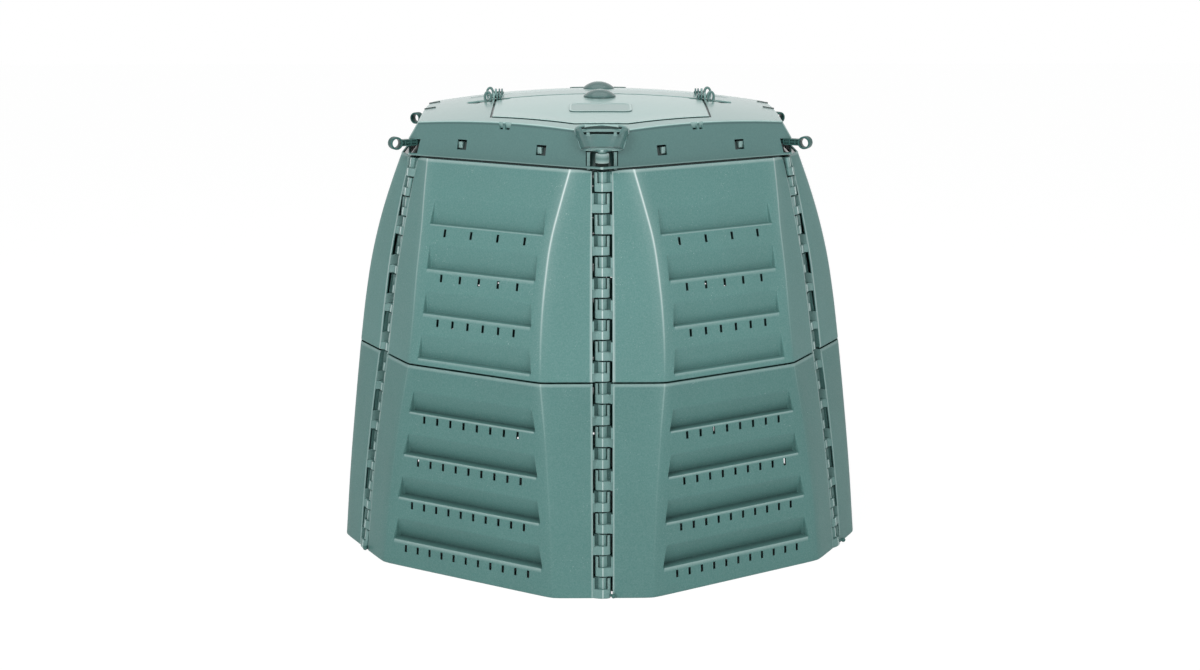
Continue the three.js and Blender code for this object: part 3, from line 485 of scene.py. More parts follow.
def wall_painted_shading(row, z, depth, carved, share, slots, slot_tall):
    """Painted light and shade of a panel: painted highlights at its side and top edges and on the ledges'
    lips, painted shade above each ledge, at the ends of the louvres and round the slots."""
    painted_shading = np.zeros(share.shape)
    painted_shading[:, [1, -2]] = 0.55
    painted_shading[[-2, -3]] = 0.3
    for ledge, rise, *_ in row["louvres"]:
        at_lip = [ledge - 2.6, ledge - 2.0, ledge - 0.2, ledge]
        lip = np.interp(z, at_lip, [0, row["lip"], row["lip"], 0], 0, 0)
        above = [ledge, ledge + 0.5, ledge + 2.4, ledge + 9, ledge + 0.5 * rise]
        shade = np.interp(z, above, [0, 1, 0.6, 0.16, 0], 0, 0) * row["shade"]
        painted_shading = np.where(carved > 0.9, painted_shading + (lip - shade)[:, None], painted_shading)
    for middle, at, half_wide in slots:
        in_z = np.abs(z - middle) < slot_tall / 2 + 0.05
        for a in at:
            painted_shading = np.where(in_z[:, None] & (np.abs(share - a) < half_wide * 1.02), -1.0, painted_shading)
    louvre_end = (np.abs(carved - 0.55) < 0.01) & (depth[:, None] > 0.4)
    return np.where(louvre_end, painted_shading - 0.2, painted_shading)


def kept_quads(t, z, border, slots, slot_tall):
    """Which quads of a panel are kept: all but those inside a slot."""
    keep = np.ones((len(z) - 1, t.shape[1] - 1), bool)
    mid_z = (z[1:] + z[:-1]) / 2
    mid_t = (t[1:, 1:] + t[1:, :-1] + t[:-1, 1:] + t[:-1, :-1]) / 4
    share = mid_t / ((border[1:] + border[:-1]) / 2)[:, None]
    for middle, at, half_wide in slots:
        in_z = np.abs(mid_z - middle) < slot_tall / 2
        for a in at:
            keep &= ~(in_z[:, None] & (np.abs(share - a) < half_wide))
    return keep


def wall_panel(row, slot_wide, slot_tall):
    """The outside of one panel in the frame of its own face: places across, distance out, height, painted
    light and shade, the painted highlight along its creases and the quads that are kept.

    Across: two wings and a face, out = face - tan(30) * (s + sqrt(s^2 + w^2)) / 2, where s is the distance
    past the crease and w its rounding. On the face the louvres are carved inwards by their depth. Up: the
    reach of the corners and their half width are smooth curves through the levels.
    """
    low, high = row["low"], row["high"]
    z, depth = wall_lines(row, slot_tall)
    reach = smooth_level(z, row["levels"], 1)
    half = smooth_level(z, row["levels"], 2)
    face = half / 2 + COS30 * reach
    face_half = reach / 2 - COS30 * half
    edge = reach / 2 - COS30 * CORNER_OPEN
    border = border_of(z, row)
    slots, columns = slot_rows(row, slot_wide)
    t, carved = wall_columns(columns, border, face_half, edge, row["soft"])

    s = np.abs(t) - face_half[:, None]
    w = np.interp(z, *row["rounding"])[:, None]
    out = face[:, None] - TAN30 * (s + np.sqrt(s * s + w ** 2)) / 2 - depth[:, None] * carved
    # Rounded top and bottom edges of the sheet, and rounded side edges beside the hinge fingers
    rim = np.interp(z, [low, low + 1.2, low + 4, high - 4, high - 1.2, high], [1.6, 0.4, 0, 0, 0.4, 1.6])
    turn_in = np.zeros(t.shape[1])
    turn_in[[0, -1]] = 1.5
    turn_in[[1, -2]] = 0.3
    out = out - rim[:, None] - turn_in

    # painted highlight along each crease, its strength by height
    crease_highlight = np.exp(-((s / 1.7) ** 2)) + 0.12 * np.exp(-((s / 14) ** 2))
    crease_highlight = crease_highlight * np.interp(z, *row["painted_light"])[:, None]
    painted_shading = wall_painted_shading(row, z, depth, carved, t / border[:, None], slots, slot_tall)
    keep = kept_quads(t, z, border, slots, slot_tall)
    to_edge = np.clip(s / (edge - face_half)[:, None], 0, 1)
    dip = row["dip"] * to_edge ** 2 * np.clip((z[:, None] - high + 8) / 8, 0, 1)
    return t, out, z[:, None] - dip, painted_shading, crease_highlight, keep


def finger_prism(corner, side, outline, low, high, edge):
    """A closed prism along a leaning hinge axis. Outline: (along, distance from the axis) pairs, where the
    distance may be a function of the height. Its ends are rounded by drawing the last rings in by an edge."""
    if side < 0:
        outline = outline[::-1]
    rings = []
    levels = [(low, edge), (low + edge * 0.4, edge * 0.4), (low + edge, 0), (high - edge, 0),
              (high - edge * 0.4, edge * 0.4), (high, edge)]
    for z, shrink in levels:
        points = np.array([[side * a, o(z) if callable(o) else o] for a, o in outline], float)
        middle = points.mean(0)
        gap = points - middle
        points = middle + gap * (1 - shrink / np.maximum(np.abs(gap).max(0), 1))
        rings.append(place(corner, axis_reach(z) + points[:, 1], points[:, 0], z))
    return closed_loft(rings)


def column_fingers(corner, row, side, gap):
    """Hinge fingers of one panel on one corner column. side is +1 where the panel is right of the corner.

    Each finger is a solid band below a small window: the band runs from the panel round the rod's front,
    and a post on the free side and a back wall close the window above it.
    """
    low, high = row["levels"][0, 0], row["levels"][-1, 0]
    pitch = (high - low) / FINGERS
    free_side = (-16.8, -17)
    parts, painted_shading = [], []

    def on_wing(shift):
        return lambda z: float(smooth_level(z, row["levels"], 1)) - axis_reach(z) + shift

    def add(outline, z0, z1, light_and_shade, edge=0.9, dark=(-1,)):
        form = finger_prism(corner, side, outline, z0, z1, edge)
        value = np.full(form[0].shape[:2], light_and_shade)
        # painted shade on the free side and on the rows given as dark, where the gaps between fingers are
        value[:, [a in free_side for a, _ in (outline if side > 0 else outline[::-1])]] = -0.8
        value[list(dark)] = -0.9
        parts.append(form)
        painted_shading.append(value)

    # the panel's edge, turned in beside the fingers, in painted shade
    add([(24.4, on_wing(-2.4)), (21.6, on_wing(-2.0)), (21.6, -10), (24.4, -10)],
        low + 1.5, high - 1.5, -0.3, dark=())
    for i in range(0 if side < 0 else 1, FINGERS, 2):
        z0 = low + i * pitch + gap / 2
        z1 = low + (i + 1) * pitch - gap / 2
        if low == 0 and i == 0:
            z0 = 0.6
        band = z0 + BAND_SHARE * (z1 - z0)
        # the band: panel edge, front, free side, back, with a faint painted highlight and painted shade at
        # its foot
        add(
            [(21.5, on_wing(-1.0)), (14, 15.6), (8, 17.2), (2.4, 17.6), (-2.4, 17.6), (-9, 16.9),
             (-14.5, 14.2), (-16.8, 9), (-17, 2), (-12, -13), (12, -13), (21.5, on_wing(-4.0))],
            z0, band, 0.15, dark=(0,),
        )
        # the post on the free side of the window, with a faint painted highlight
        add([(-9.6, 16.6), (-11.5, 16.0), (-14.5, 14.2), (-16.8, 9), (-17, 2), (-12, -13), (-9.6, -13)],
            band, z1, 0.25)
        # the strip of the panel's edge beside the window, with a faint painted highlight
        add([(21.5, on_wing(-1.0)), (17.2, on_wing(-0.4)), (17.2, -6), (21.5, on_wing(-4.0))], band, z1, 0.15)
        # the back wall behind the rod, from the post to the panel, in painted shade
        add([(-9, 7), (-9, -12.5), (12, -12.5), (20, -7), (20, 7)], band, z1, -0.45)
        # the seam crest down the front of the band, with a painted highlight
        add([(1.6, 17.2), (0.7, 18.4), (-0.7, 18.4), (-1.6, 17.2)], z0 + 0.6, band - 0.3, 1.0, 0.4, ())
        # the sleeve round the rod inside the window, with a faint painted highlight, and its own crest with a
        # strong one
        sleeve = [(9.2, 9.5), (3.5, 13.4), (-3.5, 13.4), (-7.4, 10.5), (-7.4, -7.5), (9.2, -7.5)]
        add(sleeve, band, z1, 0.12, 0.6)
        add([(1.4, 13.0), (0.6, 14.2), (-0.6, 14.2), (-1.4, 13.0)], band + 0.6, z1 - 0.6, 0.9, 0.4, ())
    return parts, painted_shading


def wall_pieces(which):
    """The six panels of one row with the hinge fingers at their two edges."""
    sizes = bpy.context.scene.bin_sizes
    row, finish = ROWS[which], material(f"{which}_wall")
    t, out, z, painted_shading, crease_highlight, keep = wall_panel(row, sizes.slot_wide / MM, sizes.slot_tall / MM)
    for i, side in enumerate(SIDES):
        ends = (i, (i + 1) % 6)
        node, slot = f"{which}_panel_{side}", f"{which}_wall"
        points = place(i * STEP + HALF, out, t, z)
        # share of the painted highlight on the crease at each side
        painted_light = np.where(t < 0, CREASE_HIGHLIGHT_SHARES[ends[0]], CREASE_HIGHLIGHT_SHARES[ends[1]])
        mesh = make_mesh(
            f"{which}_wall_{side}", [(points, [grid_quads(*t.shape, keep=keep)])],
            [np.clip(painted_shading + crease_highlight * painted_light, -1, 1)],
        )
        add_piece(f"{which}_wall_{side}", mesh, finish, BODY, nodes=(node,), solid=sizes.wall)
        parts, light_and_shade = [], []
        for corner, hand in zip((i, i + 1), (1, -1)):
            forms, values = column_fingers(corner * STEP, row, hand, sizes.finger_gap / MM)
            parts += forms
            light_and_shade += values
        mesh = make_mesh(f"{which}_fingers_{side}", parts, light_and_shade)
        add_piece(f"{which}_fingers_{side}", mesh, finish, BODY, nodes=(node,))


class BIN_OT_lower_walls(bpy.types.Operator):
    """Build the six lower panels with their louvres, slots and hinge fingers."""

    bl_idname = "bin.lower_walls"
    bl_label = "Lower walls"

    def execute(self, context):
        wall_pieces("lower")
        return {"FINISHED"}


class BIN_OT_upper_walls(bpy.types.Operator):
    """Build the six upper panels with their louvres, slots and hinge fingers."""

    bl_idname = "bin.upper_walls"
    bl_label = "Upper walls"

    def execute(self, context):
        wall_pieces("upper")
        return {"FINISHED"}


class BIN_OT_rods(bpy.types.Operator):
    """Build the six hinge rods, each with its bent tail and knob at the foot."""

    bl_idname = "bin.rods"
    bl_label = "Hinge rods"

    def execute(self, context):
        radius = context.scene.bin_sizes.rod / MM
        for i, name in enumerate(CORNERS):
            corner = i * STEP
            heights = np.array([5, 60, 200, 400, 600, 800, 869.0])
            rod = tube(place(corner, axis_reach(heights), 0, heights), radius)
            share = np.linspace(0, 1, 10)
            tail_path = place(corner, axis_reach(7.5) + 21 * share, 22 * share ** 0.8, 7.5 + 0 * share)
            tail = tube(tail_path, 2.6)
            turn = np.linspace(0.05, np.pi - 0.05, 10)
            ball_at = tail_path[-1]
            away = tail_path[-1] - tail_path[-2]
            away /= np.linalg.norm(away)
            ball = tube(ball_at - away * 5 * np.cos(turn)[:, None], 5 * np.sin(turn))
            mesh = make_mesh(f"rod_{name}", [rod, tail, ball])
            add_piece(f"rod_{name}", mesh, material("rod"), BODY, nodes=(f"hinge_rod_{name}",))
        return {"FINISHED"}


# Lid

# Thickness of the skin, rounding of the corners and power of the crown, heights of the skirt's foot, the rim
# and the middle, and distances from the middle to a corner of the skirt's foot and of the rim
LID = {
    "skin": 4, "round": 9, "power": 1.9,
    "skirt_z": 877, "rim_z": 948, "top_z": 992,
    "skirt": 479, "rim": 457,
}
FLAP_GAP = 1.5
# How far the flap's front edge stands above the frame
FRONT_PROUD = 2.0
# What is seen of the line round a flap: its edges' rounding makes it wider than the gap
LINE_GAP = 2.2
OPENING = {"side": 234.7, "margin": 33, "hinge_side": 42.5, "cut": 386.5}
HINGE = {"y": 52, "z": 984.5, "radius": 9.5}
# The hand recess: radius and middle of the tongue's arc, its own middle and the height of its floor
BOWL = {"arc": 58, "arc_y": 447, "y": 460, "foot_z": 915.5}
# Places of the two snap windows along each side, and their heights and half width
WINDOWS = ((-90, 107), (-98.5, 98.5), (-107, 90), (-90, 107), (-98.5, 98.5), (-107, 90))
WINDOW = {"low": 896, "high": 917, "half": 11.8}
# Half widths of the notches at the corners
NOTCH_HALVES = (33, 16, 16, 33, 16, 16)
# Places of the two slits across a plain side
SLITS = (-64, 64)
PIN_Z = 904.5


def deck_z(x, y):
    """Height of the lid's crowned deck: it falls from the middle with a power of the distance."""
    return LID["top_z"] - (LID["top_z"] - LID["rim_z"]) * (np.hypot(x, y) / LID["rim"]) ** LID["power"]


def hexagon(reach, turn, radius):
    """Distance to a hexagon with rounded corners in each direction: corners at 0, 60, ... degrees.

    Straight side: apothem / cos(b), b being the angle from the side's normal. Corner: the far meeting of
    the ray with a circle of the given radius that touches both sides.
    """
    apothem = reach * COS30
    b = np.mod(turn, STEP) - HALF
    straight = apothem / np.cos(b)
    centre = (apothem - radius) / COS30
    g = HALF - np.abs(b)
    arc = centre * np.cos(g) + np.sqrt(np.maximum(radius**2 - (centre * np.sin(g)) ** 2, 0))
    return np.where(apothem * np.tan(np.abs(b)) > (apothem - radius) * TAN30, arc, straight)


def side_turns():
    """Directions round the lid: even along the sides, close together at the six corners."""
    inner = np.degrees(np.arctan((LID["rim"] * COS30 - LID["round"]) * TAN30 / (LID["rim"] * COS30)))
    near = np.linspace(inner, 30, 5)[1:-1]
    b = np.concatenate([np.linspace(-30, -inner, 5)[:-1], np.linspace(-inner, inner, 15), near])
    return np.radians(np.concatenate([60 * i + 30 + b for i in range(6)]))


def lid_rows(drop, turns, fillet):
    """Rows of the lid's outside, or its inside at a drop: skirt, rounded rim, crowned deck to the middle."""
    shrink = drop / COS30
    radius = max(LID["round"] - drop, 4)
    foot = hexagon(LID["skirt"] - shrink, turns, radius)
    rim = hexagon(LID["rim"] - shrink, turns, radius)
    rim_z = deck_z(rim, 0) - drop
    rows = []

    def skirt(z):
        share = (z - LID["skirt_z"]) / (rim_z - LID["skirt_z"])
        return foot + share * (rim - foot), z

    for share in (0, 0.012, 0.04, 0.2, 0.4, 0.6, 0.8, 0.93, 0.97):
        rows.append(skirt(LID["skirt_z"] + share * (rim_z - fillet - LID["skirt_z"])))
    start = skirt(rim_z - fillet)
    deck_r = rim - fillet * 1.2
    end = (deck_r, deck_z(deck_r, 0) - drop)
    for t in np.linspace(0, 1, 7):
        a, b, c = (1 - t) ** 2, 2 * t * (1 - t), t * t
        rows.append((a * start[0] + b * rim + c * end[0], a * start[1] + b * rim_z + c * end[1]))
    for share in (0.994, 0.985, 0.95, 0.9, 0.84, 0.77, 0.68, 0.58, 0.47, 0.35, 0.22, 0.1, 0.02):
        r = share * deck_r
        rows.append((r, deck_z(r, 0) - drop))
    r = np.stack([np.broadcast_to(row[0], turns.shape) for row in rows])
    z = np.stack([np.broadcast_to(row[1], turns.shape) for row in rows])
    return place(turns[None, :], r, 0, z)


def lid_shell():
    """The lid as one closed skin: the outside rows, then the inside rows back down to the foot."""
    turns = side_turns()
    outside = lid_rows(0, turns, 2.4)
    inside = lid_rows(LID["skin"], turns, 2)
    inside[0, :, 2] = outside[0, :, 2]
    cols = len(turns)
    n = len(outside)
    points = np.concatenate([outside, inside])
    faces = [
        grid_quads(n, cols, closed=True),
        (grid_quads(n, cols, closed=True) + n * cols)[:, ::-1],
        np.stack([np.arange(cols), n * cols + np.arange(cols),
                  n * cols + (np.arange(cols) + 1) % cols, (np.arange(cols) + 1) % cols], 1),
        ((n - 1) * cols + np.arange(cols))[None, :],
        ((2 * n - 1) * cols + np.arange(cols))[None, ::-1],
    ]
    return points, faces


def flap_plan(grow, back):
    """Corners of a flap opening in plan, grown all round. Its front edges keep a margin to the rim and are
    cut off square at the corner."""
    side = OPENING["side"] + grow
    margin = OPENING["margin"] - grow
    cut_at = OPENING["cut"] + grow
    front = (LID["rim"] * COS30 - margin - side / 2) / COS30
    cut_half = 2 * (LID["rim"] * COS30 - margin - COS30 * cut_at)
    return np.array([
        [-side, -back], [-side, -front], [-cut_half, -cut_at],
        [cut_half, -cut_at], [side, -front], [side, -back],
    ])


def prism(plan, low, high):
    """A closed prism on a plan, anticlockwise from above."""
    plan = np.asarray(plan, float)
    area = np.sum(plan[:, 0] * np.roll(plan[:, 1], -1) - plan[:, 1] * np.roll(plan[:, 0], -1))
    if area < 0:
        plan = plan[::-1]
    return closed_loft([np.column_stack([plan, np.full(len(plan), z)]) for z in (low, high)])


def block(azimuth, outs, alongs, heights):
    """A closed box between two distances out, two along and two heights, at an azimuth."""
    out = np.array([outs[0], outs[1], outs[1], outs[0]])
    along = np.array([alongs[0], alongs[0], alongs[1], alongs[1]])
    return closed_loft([place(azimuth, out, along, z) for z in heights])


def turned(form):
    """A form turned half round the middle: the rear is the front one turned."""
    points, faces = form
    return points * np.array([-1, -1, 1]), faces


def both(form):
    """The front form and the rear one."""
    return [form, turned(form)]


def merge(forms):
    """Several forms that don't touch, as one."""
    points, faces, base = [], [], 0
    for p, groups in forms:
        p = p.reshape(-1, 3)
        points.append(p)
        faces += [np.asarray(g) + base for g in groups]
        base += len(p)
    return np.concatenate(points), faces


def skirt_reach(z):
    """Distance from the middle to the outside of the skirt at a corner."""
    return LID["skirt"] - (LID["skirt"] - LID["rim"]) / 71 * (z - LID["skirt_z"])


def skirt_face(z):
    """Distance from the middle to the outside of the skirt, square to a side."""
    return COS30 * skirt_reach(z)


def recess_ring(z, turn, grow=0.0):
    """The hand recess at a height: half of |x/a|^n + |y/b|^n = 1 round a point near the skirt.

    It widens from 41 by 38 mm at the floor to 60 by 73 mm under the flap, and its corners get squarer.
    """
    h = (z - BOWL["foot_z"]) / 43
    a, b, n = 41 + 17 * h + grow, 38 + 36 * h**1.15 + grow, 2.1 + 2.4 * h
    c, d = np.cos(turn), np.maximum(np.sin(turn), 0)
    return a * np.sign(c) * np.abs(c) ** (2 / n), b * d ** (2 / n) - BOWL["y"]


def recess_body(grow, low, high):
    """The recess as a closed body that opens to the front, a little wider there."""
    rings = []
    turn = np.linspace(np.pi, 0, 41)
    for z in np.linspace(low, high, 7):
        x, y = recess_ring(min(z, 962), turn, grow)
        out = x[-1] + 16
        ring = np.concatenate([[[-out, -540]], np.stack([x, y], 1), [[out, -540]]])
        rings.append(np.column_stack([ring, np.full(len(ring), z)])[::-1])
    return closed_loft(np.array(rings))


def recess_wall():
    """The recess's floor and wall as one surface. In the middle the wall ends under the bar, at its sides it
    goes on up to the deck, and at the front it meets the skirt."""
    low = BOWL["foot_z"]
    turn = np.pi * np.concatenate([
        np.linspace(1, 0.69, 18), np.linspace(0.684, 0.316, 26), np.linspace(0.31, 0, 18),
    ])
    rows = []
    for inset in (30, 16, 7, 3.5):
        x, y = recess_ring(low, turn, -inset)
        rows.append(np.stack([x, y, np.full_like(x, low)], 1))
    middle = (turn > np.pi * 0.312) & (turn < np.pi * 0.688)
    top_x, top_y = recess_ring(958.0, turn)
    top = np.where(middle, 940.6, deck_z(top_x, top_y) - 0.3)
    for share in (0.012, 0.04, 0.09, 0.2, 0.35, 0.5, 0.65, 0.8, 0.93, 1.0):
        z = low + share * (top - low)
        x, y = recess_ring(z, turn, -1.2 if share < 0.02 else 0.0)
        rows.append(np.stack([x, y, z], 1))
    rows = np.array(rows)
    front = rows[:, [0, -1]].copy()
    front[:, :, 1] = -(skirt_reach(front[:, :, 2]) - 1.6)
    front[:, 0, 0] -= 2
    front[:, 1, 0] += 2
    rows = np.concatenate([front[:, :1], rows, front[:, 1:]], 1)
    # painted highlight on the floor away from the wall, painted shade where the floor meets the wall
    painted_shading = np.zeros(rows.shape[:2])
    painted_shading[3:6] = -0.5
    painted_shading[0:2] = 0.25
    return rows, painted_shading


def places_of(mesh):
    """The x, y and z of a mesh's points in millimetres."""
    flat = np.empty(len(mesh.vertices) * 3, np.float32)
    mesh.vertices.foreach_get("co", flat)
    return flat.reshape(-1, 3).T / MM


def lid_painted_shading(mesh):
    """Painted light and shade on the lid's skin by place: painted highlights on the rim's round, at the
    corners and at the skirt's foot, painted reflection on the deck and on the troughs' walls beside the flap
    pins, a painted shade line just under the rim, and painted shade inside."""
    x, y, z = places_of(mesh)
    turn = np.arctan2(x, -y)
    rim = hexagon(LID["rim"], turn, LID["round"])
    rim_z = deck_z(rim, 0)
    reach = np.hypot(x, y)
    to_corner = np.mod(turn + HALF, STEP) - HALF
    # painted highlight on the rim's round and a painted shade line under it; painted highlights down the
    # corners and along the skirt's foot
    rim_highlight = np.exp(-(((z - rim_z + 0.6) / 1.5) ** 2)) * np.exp(-(((reach - rim) / 3.5) ** 2))
    under = np.exp(-(((z - rim_z + 4.6) / 1.6) ** 2)) * (reach > rim - 3)
    corner = np.exp(-((reach * np.sin(to_corner) / 2.2) ** 2)) * (reach > rim - 4) * (z < rim_z - 3)
    foot = np.exp(-(((z - LID["skirt_z"] - 0.8) / 1.2) ** 2))
    # painted reflection on the deck, and on the troughs' walls beside the flap pins to match it
    deck = 0.6 * ((z > deck_z(x, y) - 1.5) & (reach < rim - 2))
    by_pin = (np.abs(x) > 238) & (np.abs(x) < 270) & (np.abs(np.abs(y) - 78) < 40)
    trough_reflection = 0.9 * (by_pin & (z < deck_z(x, y) - 1) & (z > 960))
    # painted shade inside the skirt
    corner_reach = reach * np.cos(HALF - np.abs(to_corner)) / COS30
    inside = -0.9 * ((corner_reach < skirt_reach(z) - 3.2) & (z < 925))
    edges = rim_highlight + 0.7 * corner + 0.25 * foot - 0.5 * under * (corner < 0.3)
    light_and_shade = edges + deck * (1 - rim_highlight) + trough_reflection + inside
    layer = mesh.attributes.get("light_and_shade") or mesh.attributes.new("light_and_shade", "FLOAT", "POINT")
    layer.data.foreach_set("value", np.clip(light_and_shade, -1, 1).astype(np.float32))


def widen_plain_sides(mesh):
    """Move the skirt of the two plain sides further out below the rim, in line with its neighbours' faces:
    4 mm at the foot, 12 mm at half its height, nothing at the rim."""
    x, y, z = places_of(mesh)
    more = np.interp(z, [LID["skirt_z"], 911, LID["rim_z"]], [4, 12, 0])
    outer = np.abs(x) > skirt_face(z) - 5.5
    more = more * (outer & (z < LID["rim_z"]) & (np.abs(y) < 250))
    moved_on = np.stack([x + np.sign(x) * more, y * (1 - 0.577 * more / 237), z], 1) * MM
    mesh.vertices.foreach_set("co", moved_on.ravel().astype(np.float32))
    mesh.update()


def combined(name, base, cuts):
    """The base with each of the cuts taken out, as a mesh in metres."""
    def item(label, form):
        mesh = make_mesh(label, [form])
        made = bpy.data.objects.new(label, mesh)
        bpy.context.scene.collection.objects.link(made)
        return made

    target = item(name, base)
    tools = [item(f"{name}_cut", form) for form in cuts]
    for tool in tools:
        cut = target.modifiers.new("cut", "BOOLEAN")
        cut.operation = "DIFFERENCE"
        cut.solver = "MANIFOLD"
        cut.object = tool
    bpy.context.view_layer.update()
    graph = bpy.context.evaluated_depsgraph_get()
    mesh = bpy.data.meshes.new_from_object(target.evaluated_get(graph))
    if len(mesh.polygons) < 50:
        raise RuntimeError(f"{name}: the cuts left nothing")
    for made in [target, *tools]:
        old = made.data
        bpy.data.objects.remove(made)
        bpy.data.meshes.remove(old)
    return mesh


def recess_bar():
    """The bar across the opening in the recess's back wall: an upright rectangle carried along the recess's
    own line, with its ends behind the side walls."""
    turn = np.linspace(np.pi * 0.73, np.pi * 0.27, 33)
    low, high, thick = 944.6, 950.4, 3
    section = [(0.5, low + 0.8), (1.3, low), (thick, low), (thick, high), (1.3, high), (0.5, high - 0.8)]
    rings = []
    for grow, z in section:
        x, y = recess_ring(z, turn, grow)
        rings.append(np.stack([x, y, np.full_like(x, z)], 1))
    return closed_loft(np.stack(rings, 1))


def path_loop(plan, profile):
    """A closed band along the outline of a plan, a function of its growth: rings of (growth, drop)."""
    steps = np.linspace(0, 1, 9)[:-1, None]
    rows = []
    for grow, drop in profile:
        corners = plan(grow)
        fine = np.concatenate([a + steps * (b - a) for a, b in zip(corners, np.roll(corners, -1, axis=0))])
        rows.append(np.column_stack([fine, deck_z(fine[:, 0], fine[:, 1]) - drop]))
    rows, faces = closed_band(np.array(rows))
    return rows, [quads[:, ::-1] for quads in faces]


def disc_bar(x0, x1, y, z, radius, sides=28, edge=0.5):
    """A short round bar along X with rounded edges."""
    ring = np.linspace(0, 2 * np.pi, sides, endpoint=False)
    rings = []
    for x, r in ((x0, radius - edge), (x0 + edge * 0.4, radius - edge * 0.3), (x0 + edge, radius),
                 (x1 - edge, radius), (x1 - edge * 0.4, radius - edge * 0.3), (x1, radius - edge)):
        rings.append(np.stack([np.full(sides, x), y + r * np.cos(ring), z + r * np.sin(ring)], 1))
    return closed_loft(rings)


def trough_dish(side):
    """The hollow beside a flap pin where its ring lies: a floor that rises outwards and to the front, and a
    steep wall at its back."""
    low = HINGE["z"] - 16.5
    rings = []
    for x, deep in ((242.0, 4.0), (264.0, 4.0), (274.0, 1.0), (296.0, 1.4), (309.0, 8.0)):
        section = [(-41, 30), (-41, 9.0), (-41.4, deep), (-63, deep), (-112, deep + 8.5), (-112, 30)]
        rings.append([(side * x, y, low + up) for y, up in section])
    rings = np.array(rings)
    return closed_loft(rings[:, ::-1] if side > 0 else rings)


def slit_ridge(side, y):
    """A low ridge beside a slit in the rim of a plain side, along the deck's fall."""
    rings = []
    for x in (370.0, 378.0, 387.0, 395.5):
        top = deck_z(x, y)
        section = [(-1.5, -1.5), (-0.9, 2.6), (1.5, 2.2), (1.5, -1.5)]
        rings.append([(side * x, y + across, top + up) for across, up in section])
    rings = np.array(rings)
    return closed_loft(rings[::-1] if side > 0 else rings)


def wall_tops():
    """What the lid hides of the wall, seen through its notches and windows and under its skirt: ledges,
    collars, lugs and corner posts, as (forms, painted light and shade). The ledges, collars and posts are in
    painted shade, the lugs and the cheeks at the front and rear corners have a painted highlight."""
    made = []
    foot, top = (skirt_face(z) - LID["skin"] - 5.2 for z in (877, 911.5))
    half, flat_half = 217.5, 176.0
    for i, places in enumerate(WINDOWS):
        azimuth, corner = i * STEP + HALF, i * STEP
        rings = []
        for a in (-half, -flat_half, flat_half, half):
            ledge = 436.4 - TAN30 * (abs(a) - flat_half)
            ring = [(ledge, 868.5), (ledge, 872), (foot, 872), (top, 911), (top - 4, 911), (foot - 4, 868.5)]
            rings.append([place(azimuth, np.array(o), a, np.array(z)) for o, z in ring])
        made += evenly_painted([closed_loft(rings)], -0.95)
        for along in places:
            middle = along + (7, 0, -7)[i % 3]
            lug = block(azimuth, (top - 3, skirt_face(906) - 4.6), (middle - 4.8, middle + 4.8), (898.6, 912))
            made += evenly_painted([lug], 0.45)
        for side in (-1, 1):
            made += evenly_painted([block(corner, (424, 446), sorted((side * 13, side * 24)), (862, 911))], -0.35)
            if i % 3 == 0:
                cheek = sorted((side * 24.5, side * 31))
                made += evenly_painted([block(corner, (446, 458), cheek, (874, 910))], 0.2)
        made += evenly_painted([block(corner, (419, 424), (-30, 30), (858, 911))], -0.95)
        made += evenly_painted([block(corner, (424, 458), (-40, 40), (866, 872.4))], -0.95)
    return zip(*made)


def lid_cuts():
    """What is cut out of the lid's skin: notches, windows, slits, flap openings, recesses, the troughs beside
    the flap pins, and two slanted marks in the rim of each side next to a recess."""
    low, high = LID["skirt_z"], LID["top_z"] + 30
    notches = [
        block(i * STEP, (437, 520), (-half, half), (low + 4.5, low + 34.5))
        for i, half in enumerate(NOTCH_HALVES)
    ]
    windows = [
        block(i * STEP + HALF, (392, 425), (along - WINDOW["half"], along + WINDOW["half"]),
              (WINDOW["low"], WINDOW["high"]))
        for i, places in enumerate(WINDOWS) for along in places
    ]
    slits = [block(STEP * 1.5, (378, 412), (y - 3.2, y + 3.2), (LID["rim_z"] + 1, high)) for y in SLITS]
    slits = [form for slit in slits for form in both(slit)]
    opening = prism(flap_plan(LINE_GAP, OPENING["hinge_side"]), 900, high)
    troughs = [form for side in (-1, 1) for form in both(trough_dish(side))]
    cuts = [merge(forms) for forms in (notches, windows, slits, both(opening))]
    cuts += [*both(recess_body(0.3, BOWL["foot_z"], high)), merge(troughs)]
    for i, hand in ((0, -1), (2, 1), (3, -1), (5, 1)):
        for top, foot in (((-21, -11), (-16.5, -8.5)), ((-5, 12.4), (-3, 7.4))):
            ring = [(foot[0], 943.5), (foot[1], 943.5), (top[1], 961), (top[0], 961)]
            rings = np.array([
                [place(i * STEP + HALF, out, hand * a, z) for a, z in ring] for out in (432.0, 394.0)
            ])
            cuts.append(closed_loft(rings[:, ::-1] if hand > 0 else rings))
    return cuts


